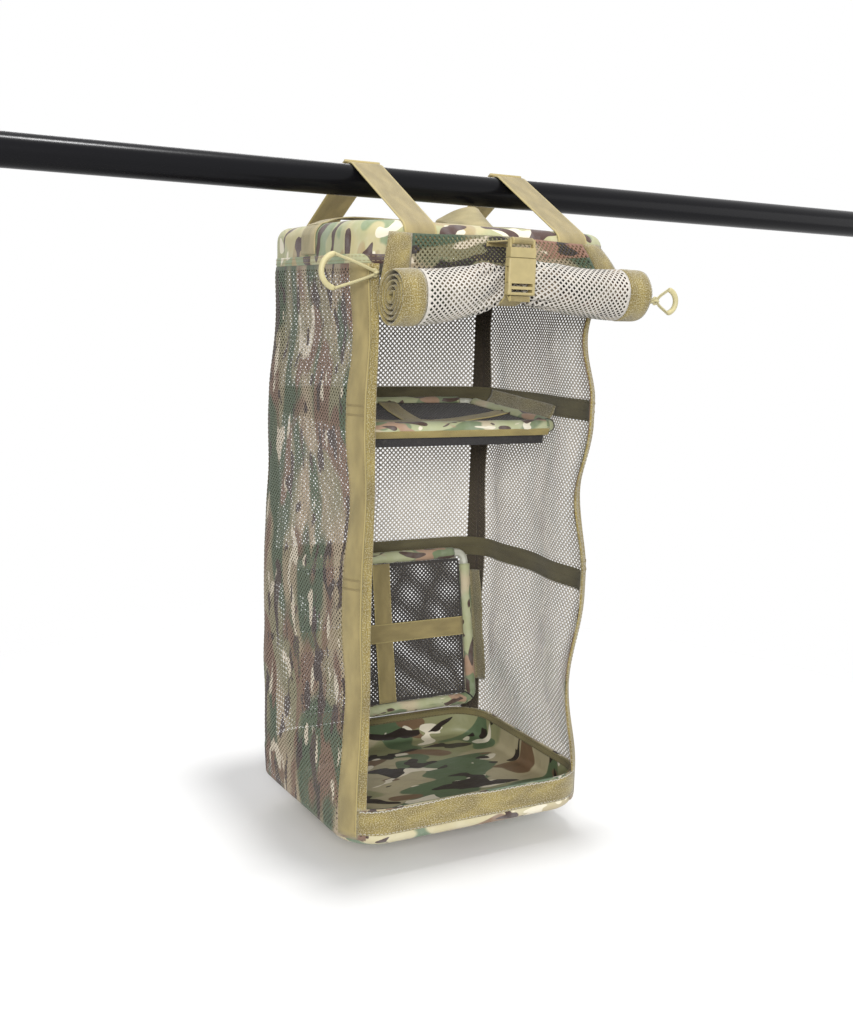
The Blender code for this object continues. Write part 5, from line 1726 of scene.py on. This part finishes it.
@dataclass
class Door(Assembly):
    """The mesh door, rolled up and held under the cap, with the loop tapes along its edges."""

    length: float = 0.306
    shift: float = 0.0095
    radius: float = 0.030
    pitch: float = 0.0054
    turns: float = 4.2
    core: float = 0.7
    drop: float = 0.028
    pinch: float = 0.24
    squeeze: float = 0.33
    pinch_x: float = -0.007
    pinch_spread: float = 0.042
    pinch_lift: float = 0.014
    tilt: float = 0.036
    pleat: float = 0.0030
    seam_reach: float = 0.130
    seam_drop: float = 0.012
    seam_out: float = 0.0036
    belly: float = 0.006
    tape: float = 0.028
    tape_thick: float = 0.0022
    gap: float = 0.0006
    cloth: float = 0.0009
    open_turns: float = 1.16
    lattice: HoleLattice = HoleLattice()

    def spiral(self, across: Array, turns: Array) -> Array:
        """Points of the door.

        Args:
            across: From 0 at its left edge to 1 at its right.
            turns: -1 at the seam under the cap, 0 where it meets the roll, then turns wound.

        Returns:
            The points, in rows of three.
        """
        across, turns = np.broadcast_arrays(np.asarray(across, float), np.asarray(turns, float))
        x = self.shift + self.length * (across - 0.5)
        flat, tall, rise = self.waist(x)
        wound = np.maximum(turns, 0)
        angle = -2 * math.pi * wound
        beside = np.abs(x - self.pinch_x)
        gather = self.pleat * np.exp(-(((beside - 0.024) / 0.020) ** 2))
        pleat = gather * np.sin(8 * angle + 120 * (x - self.pinch_x) + 2 * np.sin(3 * angle))
        soft = 0.0016 * ripple(x * 40, np.sin(angle) * 2.5, 0.6) + 0.0010 * np.sin(2 * angle + 19 * x)
        radius = self.radius - self.pitch * wound + soft + pleat
        y = -(self.plan.half_depth + 0.002) - self.radius * flat + radius * flat * np.cos(angle)
        z = self.plan.seam - self.drop + rise + radius * tall * np.sin(angle)
        rolled = joined(x, y, z)
        outline, normal = self.plan.outline(self.seam_reach * (1 - 2 * across))
        part = np.clip(-turns, 0, 1)
        fan = np.sin(46 * (x - self.pinch_x) * (1 - 0.45 * part) + 1.1)
        hang = np.sin(math.pi * part)
        belly = self.belly * (1 - np.exp(-((beside / 0.05) ** 2)))
        away = self.seam_out + hang * (belly + 0.0016 * fan)
        height = self.plan.cap_top - self.seam_drop + 0.0015 * fan * (1 - hang)
        seam = joined(outline[..., 0], outline[..., 1], height)
        sheet = rolled * (1 - part[..., None]) + seam * part[..., None]
        sheet[..., :2] += normal * (away * np.minimum(1, 8 * part))[..., None]
        return np.where((part > 0)[..., None], sheet, rolled)

    def waist(self, x: Array) -> tuple[Array, Array, Array]:
        """How the strap squeezes the roll at x.

        Args:
            x: Places along the roll.

        Returns:
            The roll's depth and height there as shares of its full ones, and how far it is raised.
        """
        near = np.exp(-(np.abs((x - self.pinch_x) / self.pinch_spread) ** 1.6))
        rise = self.pinch_lift * np.exp(-(((x - self.pinch_x - 0.02) / 0.075) ** 2))
        return 1 - self.pinch * near, 1 - self.squeeze * near, rise + self.tilt * (x - self.shift)

    def sides(self, across: Array, turns: Array, out: float) -> Array:
        """Points that stand off the door by out, to the side that is printed."""
        here = self.spiral(across, turns)
        right = self.spiral(across + 0.002, turns) - self.spiral(across - 0.002, turns)
        down = self.spiral(across, turns + 0.004) - self.spiral(across, np.maximum(turns - 0.004, -1))
        return here + unit(np.cross(down, right)) * out

    def measure(self) -> tuple[Array, Array]:
        """Turns, and how far down the cloth each is."""
        turns = np.linspace(-1, self.turns, 900)
        return turns, gone_along(self.spiral(0.15, turns))

    def build(self) -> None:
        """Makes the rolled cloth and its three tapes."""
        turns, gone = self.measure()
        hem = self.tape / self.length
        edge = hem + self.gap / self.length
        width = self.length * (1 - 2 * edge)
        open_length = float(np.interp(self.open_turns, turns, gone))
        cutting = Cutting()

        def place(u: Array, v: Array, face: Face) -> Array:
            """The door's points from their places on the cloth."""
            wound = np.interp(open_length - v, gone, turns)
            return self.sides(edge + u / self.length, wound, self.cloth * (0.5 - face.value))

        self.lattice.cut(cutting, width, open_length, place, window=(0.30, 0.99))
        self.inner_turns(cutting, edge, turns, gone)
        finishes = self.room.door_print_and_shade, self.room.door_yarn
        piece = cutting.piece("rolled_door", Slot.MESH, self.body, *finishes, node="door_mesh_roll")
        stops = np.concatenate([np.linspace(-1, 0, 12), np.linspace(0, self.turns, 150)[1:]])
        first = self.turns + 0.02
        for side, low, high in (("left", 0.0, hem), ("right", 1 - hem, 1.0)):
            self.edge_tape(side, low, high, stops)
        self.edge_tape("bottom", 0.0, 1.0, np.linspace(first, first + self.core, 26), 60)

    def inner_turns(self, cutting: Cutting, edge: float, turns: Array, gone: Array) -> None:
        """Adds the turns that show only at the roll's ends, without holes."""
        wound = np.linspace(self.turns, self.open_turns + 0.004, 90)[:, None]
        across = np.linspace(edge, 1 - edge, 40)
        front, back = (self.sides(across, wound, out * self.cloth / 2) for out in (1, -1))
        before = len(cutting.faces)
        cutting.slab(front, back, joined(across * self.length, -np.interp(wound, turns, gone)))
        rows, columns = front.shape[:2]
        down, over = np.divmod(np.arange(rows * columns), columns)
        spot = joined(0.01 + 0.47 * over / (columns - 1), 0.02 + 0.24 * down / (rows - 1))
        both = np.concatenate([spot, spot + (0.51, 0.0)])
        start = cutting.count - 2 * rows * columns
        nudge = np.array([(0, 0), (0.003, 0.003), (0.003, 0.004), (0, 0.002)])
        for faces in cutting.faces[before:]:
            corners = both[faces - start]
            rim = np.ptp(corners[:, :, 0], axis=1) > 0.4
            shrunk = np.minimum(corners[:, [0, 0, 1, 1]], 0.98) + nudge
            cutting.bake.append(np.where(rim[:, None, None], shrunk, corners).reshape(-1, 2))

    def edge_tape(self, side: str, low: float, high: float, stops: Array, columns: int = 9) -> None:
        """Makes one of the door's loop tapes.

        Args:
            side: Which edge of the door it is on.
            low: Its left edge, as a share of the door's width.
            high: Its right edge.
            stops: The turns that it runs through.
            columns: How many points it has across.
        """
        across, stops = np.linspace(low, high, columns), stops[::-1, None]
        half = np.full((columns, 1), self.tape_thick / 2)
        half[[0, -1]] *= 0.45
        middle = self.sides(across, stops, 0.0)
        away = (self.sides(across, stops, 1.0) - middle) * half
        cutting = Cutting()
        cloth = joined((across - (low + high) / 2) * self.length, 0.15 * stops)
        cutting.slab(middle + away, middle - away, cloth)
        name, finish = side + "_roll_tape", self.room.pile
        cutting.piece(name, Slot.LOOP_TAPE, self.body, finish, node=side + "_door_tape")


@dataclass
class Retainer(Assembly):
    """The strap that holds the rolled door, with its side-release buckle."""

    door: Door
    plug_body: str = "plug"
    width: float = 0.025
    thick: float = 0.0016
    gap: float = 0.0003
    plug_bar: float = 0.0035

    def build(self) -> None:
        """Makes the straps and dresses the buckle."""
        for name in ("buckle_socket", "buckle_plug", "left_buckle_prong", "right_buckle_prong"):
            self.dress(name, self.room.plastic)
        self.long_end()
        self.short_end()
        self.plug_loop()

    def webbing(self, end: str, knots: list[tuple[float, ...]], node: str) -> None:
        """Makes one end of the strap.

        Args:
            end: Which end it is.
            knots: The points that it runs through.
            node: The node that it replaces.
        """
        cutting = Cutting()
        section = flat_section(self.width, self.thick)
        cutting.sweep(smooth_path(knots, 5), np.array([1.0, 0, 0]), section)
        cutting.piece(f"retainer_webbing_{end}", Slot.WEBBING, self.body, self.room.webbing, node=node)

    def long_end(self) -> None:
        """The strap from the seam down behind the roll, under it and up to the socket."""
        low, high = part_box("buckle_socket")
        y, bottom = (low[1] + high[1]) / 2, low[2]
        door, x = self.door, self.door.pinch_x
        flat, tall, rise = (float(v) for v in door.waist(np.array(x + self.width / 2)))
        margin = 3 * self.gap + self.thick / 2 + 0.0010
        back = -(self.plan.half_depth - 0.0024 - self.thick)
        middle_y = -(self.plan.half_depth + 0.002) - door.radius * flat
        middle_z = self.plan.seam - door.drop + rise
        wide, deep = door.radius * flat + margin, door.radius * tall + margin
        knots = [(x, back, self.plan.seam - self.gap), (x, back, middle_z - 0.3 * deep)]
        for turn in np.radians((-55, -75, -95, -115, -135, -152)):
            knots.append((x, middle_y + wide * math.cos(turn), middle_z + deep * math.sin(turn)))
        knots += [(x, y, bottom - 0.006), (x, y, bottom - 2 * self.gap)]
        self.webbing("long", knots, "retainer_strap_lower")

    def short_end(self) -> None:
        """The short strap from the cap to the plug's bar."""
        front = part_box("retainer_strap_upper")[0][1]
        x, z = self.door.pinch_x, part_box("buckle_plug")[1][2] - self.plug_bar / 2
        wall = -(self.plan.half_depth + self.door.seam_out + 0.003 + self.thick / 2)
        sewn = self.plan.cap_top - self.door.seam_drop - 0.010
        knots = [(x, wall, sewn), (x, wall - 0.001, sewn + 0.004), (x, wall - 0.006, z), (x, front, z)]
        self.webbing("short", knots, "retainer_strap_upper")

    def plug_loop(self) -> None:
        """The sewn loop of webbing round the plug's bar."""
        low, high = (np.array(c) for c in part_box("retainer_strap_loop"))
        size = (high - low) / 2 - self.thick / 2
        turn = np.linspace(0, 2 * math.pi, 25)[:-1]
        ring = (low + high) / 2 + joined(0.0, size[1] * np.cos(turn), size[2] * np.sin(turn))
        out = unit(joined(0.0, np.cos(turn) / size[1], np.sin(turn) / size[2]))
        section = flat_section(self.width, self.thick)
        points = ring[:, None] + joined(section[:, 0], 0.0, 0.0) + out[:, None] * section[:, 1:]
        points = np.concatenate([points, points[:1]])
        cutting = Cutting()
        cloth = joined(section[:, 0], np.linspace(0, 0.03, len(points))[:, None])
        cutting.grid(points, cloth, around=True, flip=True)
        name, finish = "plug_webbing_loop", self.room.webbing
        cutting.piece(name, Slot.WEBBING, self.plug_body, finish, node="retainer_strap_loop")


@dataclass
class PullLoops(Assembly):
    """Two loops of stiff cord with a thick grip: one at the door's left seam, one at the roll."""

    door: Door
    cord: float = 0.0032
    grip: float = 0.0060
    knot: float = 0.006
    sewn_x: float = 0.137

    def build(self) -> None:
        """Makes both loops."""
        plan = self.plan
        turn = math.asin((self.sewn_x - (plan.half_width - plan.corner)) / plan.corner) + 0.05
        self.loop("left", -1, 0.060, 0.0175, (math.sin(turn), math.cos(turn), 0.0))
        self.loop("right", 1, 0.028, 0.0130, (-1.0, 0.0, 0.0))

    def knot_place(self, side: str) -> Sequence[float]:
        """Where a loop's knot is: on the axis that its joint turns about."""
        joints = frame["record"]["behaviour"]["joints"]
        return next(joint["pos_m"] for joint in joints if joint["name"] == f"{side}_pull_swing")

    def loop(self, side: str, sign: int, length: float, radius: float, back: tuple[float, ...]) -> None:
        """Makes one loop.

        Args:
            side: Which side it is on.
            sign: Which way it points along X.
            length: How far it reaches from its knot.
            radius: The radius of its outer end.
            back: The direction from its knot to where it is sewn in.
        """
        knot = np.array(self.knot_place(side))
        root = knot + np.array(back) * (self.knot + 0.001)
        turns = np.radians(np.linspace(80, -80, 26))
        arc = joined(sign * radius * np.cos(turns), 0.0, radius * np.sin(turns))
        bend = knot + (sign * (length - radius), 0, 0) + arc
        legs = []
        for end, lift in ((bend[0], 0.0016), (bend[-1], -0.0016)):
            start = knot + (sign * 0.001, 0, lift)
            reach, rise = end - start, np.array([0, 0, lift])
            knots = [root + rise, start, start + reach * 0.35 + rise / 3, end - reach * 0.12, end]
            legs.append(smooth_path(knots, 6))
        line = np.concatenate([legs[0][:-1], bend, legs[1][-2::-1]])
        body = f"{side}_pull"
        cutting = Cutting()
        cutting.tube(line, self.cord / 2, 10)
        cord = cutting.piece(f"{side}_loop_cord", Slot.CORD, body, self.room.cord, node=f"{side}_pull_cord")
        tie = self.tangle(side, knot, sign)
        sleeve = Cutting()
        size = np.full(len(bend), self.grip / 2)
        size[[0, -1]] *= 0.72
        size[[1, -2]] *= 0.93
        sleeve.tube(bend, size, 16)
        grip = sleeve.piece(f"{side}_loop_grip", Slot.CORD, body, self.room.grip, node=f"{side}_pull_grip")
        float(gone_along(line)[-1])

    def tangle(self, side: str, knot: Array, sign: int) -> bpy.types.Object:
        """Makes a loop's overhand knot: a trefoil of the same cord drawn tight."""
        t = np.linspace(0, 2 * math.pi, 72)
        wide, tall = np.cos(t) - 0.715 * np.cos(2 * t), np.sin(t) + 0.715 * np.sin(2 * t)
        trefoil = joined(sign * 0.7 * np.sin(3 * t), 0.8 * wide, tall)
        cutting = Cutting()
        cutting.tube(knot + trefoil * self.knot * 0.36, self.cord / 2, 8)
        return cutting.piece(f"{side}_loop_knot", Slot.CORD, f"{side}_pull", self.room.cord)


@dataclass
class Shelf(Assembly):
    """One fold-down shelf: a rod frame in four sleeves, its mesh, webbing, flaps and hook strip."""

    level: str
    hinge: tuple[float, float, float]
    droop: float
    sag: float
    reach: float = 0.200
    half: float = 0.127
    sleeve: float = 0.015
    rod: float = 0.011
    bend: float = 0.012
    cloth: float = 0.0009
    webbing: float = 0.025
    strap: float = 0.0016
    flap: float = 0.150
    flap_up: float = 0.020
    flap_out: float = 0.014
    hook_height: float = 0.013
    loop_radius: float = 0.0011
    clear: float = 0.0006
    piping: float = 0.009
    lattice: HoleLattice = HoleLattice(pitch=0.0056, hole=0.00160)

    def __post_init__(self) -> None:
        """Works out how the shelf hangs, and how far in its mesh starts."""
        self.edge = self.sleeve / 2 + self.clear
        self.body = f"{self.level}_shelf"
        self.turn = np.array(Matrix.Rotation(math.radians(self.droop), 3, "X"))

    def hang(self, points: Array) -> Array:
        """Turns points of the shelf's own frame, whose X axis is its hinge, into the part's frame."""
        return points @ self.turn.T + self.hinge

    def sewn(
        self, cutting: Cutting, name: str, slot: Slot, *finishes: Material, node: str = ""
    ) -> bpy.types.Object:
        """Makes one of this shelf's pieces, which stands for the node of that name on its level."""
        node = node and f"{self.body}_{node}"
        return cutting.piece(f"{self.level}_{name}", slot, self.body, *finishes, node=node)

    def build(self) -> None:
        """Makes every piece of the shelf."""
        self.deck()
        self.cross()
        self.sleeves()
        self.flaps()
        self.hook_strip()
        self.corner_cord()
        self.dress(self.body + "_rod", self.room.rod)

    def sagging(self, x: Array, y: Array) -> Array:
        """How far the mesh hangs below the rod at a point, with a little unevenness."""
        half = np.array([self.half, self.reach / 2]) - self.edge
        part = np.clip(1 - (joined(x, y + self.reach / 2) / half) ** 2, 0, 1).prod(-1)
        return -self.sag * part + 0.0006 * ripple(x * 70, y * 60, 1.1) * np.sqrt(part)

    def deck(self) -> None:
        """The mesh between the sleeves."""
        width, depth = 2 * (self.half - self.edge), self.reach - 2 * self.edge
        cutting = Cutting()

        def place(u: Array, v: Array, face: Face) -> Array:
            """The deck's points from their places on the cloth."""
            x, y = u - width / 2, v - depth - self.edge
            z = self.sagging(x, y) + self.cloth * (0.5 - face.value)
            beyond = np.abs(joined(x, y + self.reach / 2)) - (np.array([width, depth]) / 2 - 0.004)
            drawn = np.sign(x) * np.clip(beyond, 0, None).prod(-1) * 130
            return self.hang(joined(x - drawn, y, z))

        self.lattice.cut(cutting, width, depth, place)
        yarn = self.room.shelf_mesh
        piece = self.sewn(cutting, "deck_mesh", Slot.MESH, yarn, yarn, node="mesh")

    def cross(self) -> None:
        """The two webbings sewn across each other on the deck."""
        lift = 2 * self.clear + self.strap / 2
        section = flat_section(self.webbing, self.strap)
        cutting = Cutting()
        y = np.linspace(-self.edge, -(self.reach - self.edge), 30)
        line = joined(0.0, y, self.sagging(0 * y, y) + lift)
        cutting.sweep(self.hang(line), np.array([1.0, 0, 0]), section)
        x, y = np.linspace(-(self.half - self.edge), self.half - self.edge, 40), -self.reach / 2
        over = lift + self.strap * 0.9 * np.exp(-((x / 0.018) ** 4))
        cutting.sweep(self.hang(joined(x, y, self.sagging(x, y) + over)), self.turn[:, 1], section)
        self.sewn(cutting, "deck_webbing", Slot.WEBBING, self.room.webbing, node="webbing_cross")

    def corner(self, x: float, y: float, start: float, end: float) -> list[tuple[float, float]]:
        """Points of the rod's bend at a front corner, between two directions in degrees."""
        x, y = x - math.copysign(self.bend, x), y + self.bend
        turns = np.radians(np.linspace(start, end, 7))
        return [(x + self.bend * math.cos(t), y + self.bend * math.sin(t)) for t in turns]

    def sleeves(self) -> None:
        """The four fabric sleeves round the rod, with piping on the front one."""
        half, reach = self.half, self.reach
        front = self.corner(-half, -reach, -135, -90) + [(0.5 * half * k, -reach) for k in (-1, 0, 1)]
        front += self.corner(half, -reach, -90, -45)
        flat = self.plan.half_width - self.plan.corner - self.clear
        right = self.corner(half, -reach, -45, 0) + [(half, -reach * k) for k in (0.75, 0.5, 0.25)]
        right += [(half, -(self.bend + 0.004))]
        rear = [(flat * k, 0.0) for k in (1, 0.5, 0, -0.5, -1)]
        left = [(-x, y) for x, y in reversed(right)]
        for side, path in (("front", front), ("rear", rear), ("right", right), ("left", left)):
            self.one_sleeve(side, smooth_path([(x, y, 0.0) for x, y in path], 4))
        self.edge_piping(front)

    def one_sleeve(self, side: str, line: Array) -> None:
        """Makes one sleeve along a line, loosely wrinkled, with its seam inwards.

        Args:
            side: Which side of the shelf it is on.
            line: The rod's middle line there.
        """
        fine = [line[0]]
        for a, b in zip(line, line[1:]):
            count = max(1, int(np.linalg.norm(b - a) / 0.004))
            fine += [a + (b - a) * k / count for k in range(1, count + 1)]
        line = np.array(fine)
        along = unit(np.gradient(line, axis=0))
        inward = joined(-along[:, 1], along[:, 0], 0.0)
        gone = gone_along(line)[:, None]
        turn = np.radians(np.linspace(4, 356, 26))
        loose = self.sleeve / 2 * (1 + 0.05 * ripple(gone * 130, turn * 1.2, 1.7))
        radial = spokes(inward, np.array([[0.0, 0, 1]]), turn)
        inside = self.rod / 2 + self.clear
        outer, inner = (line[:, None] + radial * far for far in (loose[..., None], inside))
        cutting = Cutting()
        cutting.slab(self.hang(outer), self.hang(inner), joined(gone, turn * self.sleeve / 2))
        self.sewn(cutting, f"{side}_sleeve", Slot.CAMO, self.room.sleeve, node=f"{side}_sleeve")

    def edge_piping(self, front: list[tuple[float, float]]) -> None:
        """The narrow tape sewn along the underside of the front sleeve."""
        line = smooth_path([(a, b, 0.0) for a, b in front[5:-5]], 10)
        drop = np.array([0, 0.72, 0.82]) * self.sleeve / 2
        cutting = Cutting()
        across = self.turn @ (0.0, -0.35, 1.0)
        cutting.sweep(self.hang(line - drop), across, flat_section(self.piping, 0.0014))
        self.sewn(cutting, "front_piping", Slot.WEBBING, self.room.piping)

    def flaps(self) -> None:
        """The tape flaps along both sides, leaning out to the wall bands."""
        inner = self.half + self.edge
        far, up = self.flap_out, self.flap_up
        profile = smooth_path([(0, 0), (0.003, 0.002), (0.7 * far, 0.5 * up), (far, up)], 5)
        part = np.linspace(0, 1, len(profile))[:, None]
        y = np.linspace(-self.flap / 2, self.flap / 2, 30) - self.reach / 2
        for side, sign in (("left", -1), ("right", 1)):
            wave = 0.0012 * ripple(y * 90, 0 * y, 0.7 + sign) * part**2
            middle = joined(sign * (inner + profile[:, :1] + wave - 0.0012 * part**2), y, profile[:, 1:])
            out = np.array([0.82, 0.0, -0.57 * sign]) * 0.0008
            cutting = Cutting()
            cutting.slab(self.hang(middle + out), self.hang(middle - out), joined(0.025 * part, y))
            self.sewn(cutting, f"{side}_tape_flap", Slot.LOOP_TAPE, self.room.dark_pile, node=f"{side}_flap")

    def hook_strip(self) -> None:
        """The black hook tape under the front sleeve."""
        top = -(self.sleeve / 2 + 0.0003)
        x = np.linspace(-(self.half - self.bend), self.half - self.bend, 60)
        z = np.linspace(top - self.hook_height, top, 6)[:, None]
        sway = 0.0008 * ripple(x * 60, 0 * x, 2.2) * (top - z) / self.hook_height
        front, back = (self.hang(joined(x, sway - self.reach + half, z)) for half in (-0.0008, 0.0008))
        cutting = Cutting()
        cutting.slab(front, back, joined(x, z))
        self.sewn(cutting, "hook_tape", Slot.HOOK_TAPE, self.room.hooks, node="hook_strip")

    def corner_cord(self) -> None:
        """A small loop of black cord round the rod at its right front corner."""
        out = np.array([[1.0, -1.0, 0]]) / math.sqrt(2)
        centre = np.array([self.half - self.bend, -self.reach + self.bend, 0]) + out * self.bend
        ring = spokes(out, np.array([[0, 0, 1.0]]), np.linspace(0, 2 * math.pi, 30))[0]
        cutting = Cutting()
        rim = self.rod / 2 + self.clear + self.loop_radius
        cutting.tube(self.hang(centre + ring * rim), self.loop_radius, 8)
        self.sewn(cutting, "corner_cord", Slot.HOOK_TAPE, self.room.black_cord, node="corner_loop")


def main() -> None:
    """Builds the studio and every sub-assembly in order; each piece logs its own size."""
    logging.basicConfig(level=logging.INFO, format="%(message)s")
    plan = BodyPlan.from_frame()
    Studio().build(plan)
    room = Workroom()
    door = Door(plan, room)
    PullLoops(plan, room, door).build()
    Cap(plan, room).build()
    Tray(plan, room).build()
    Walls(plan, room).build()
    Suspension(plan, room).build()
    door.build()
    Retainer(plan, room, door).build()
    Shelf(plan, room, "upper", (0.0, 0.1287, -0.260), 3.5, 0.012).build()
    Shelf(plan, room, "lower", (0.0, 0.1287, -0.465), 80.0, 0.001, flap_out=0.006).build()


if __name__ == "__main__":
    main()
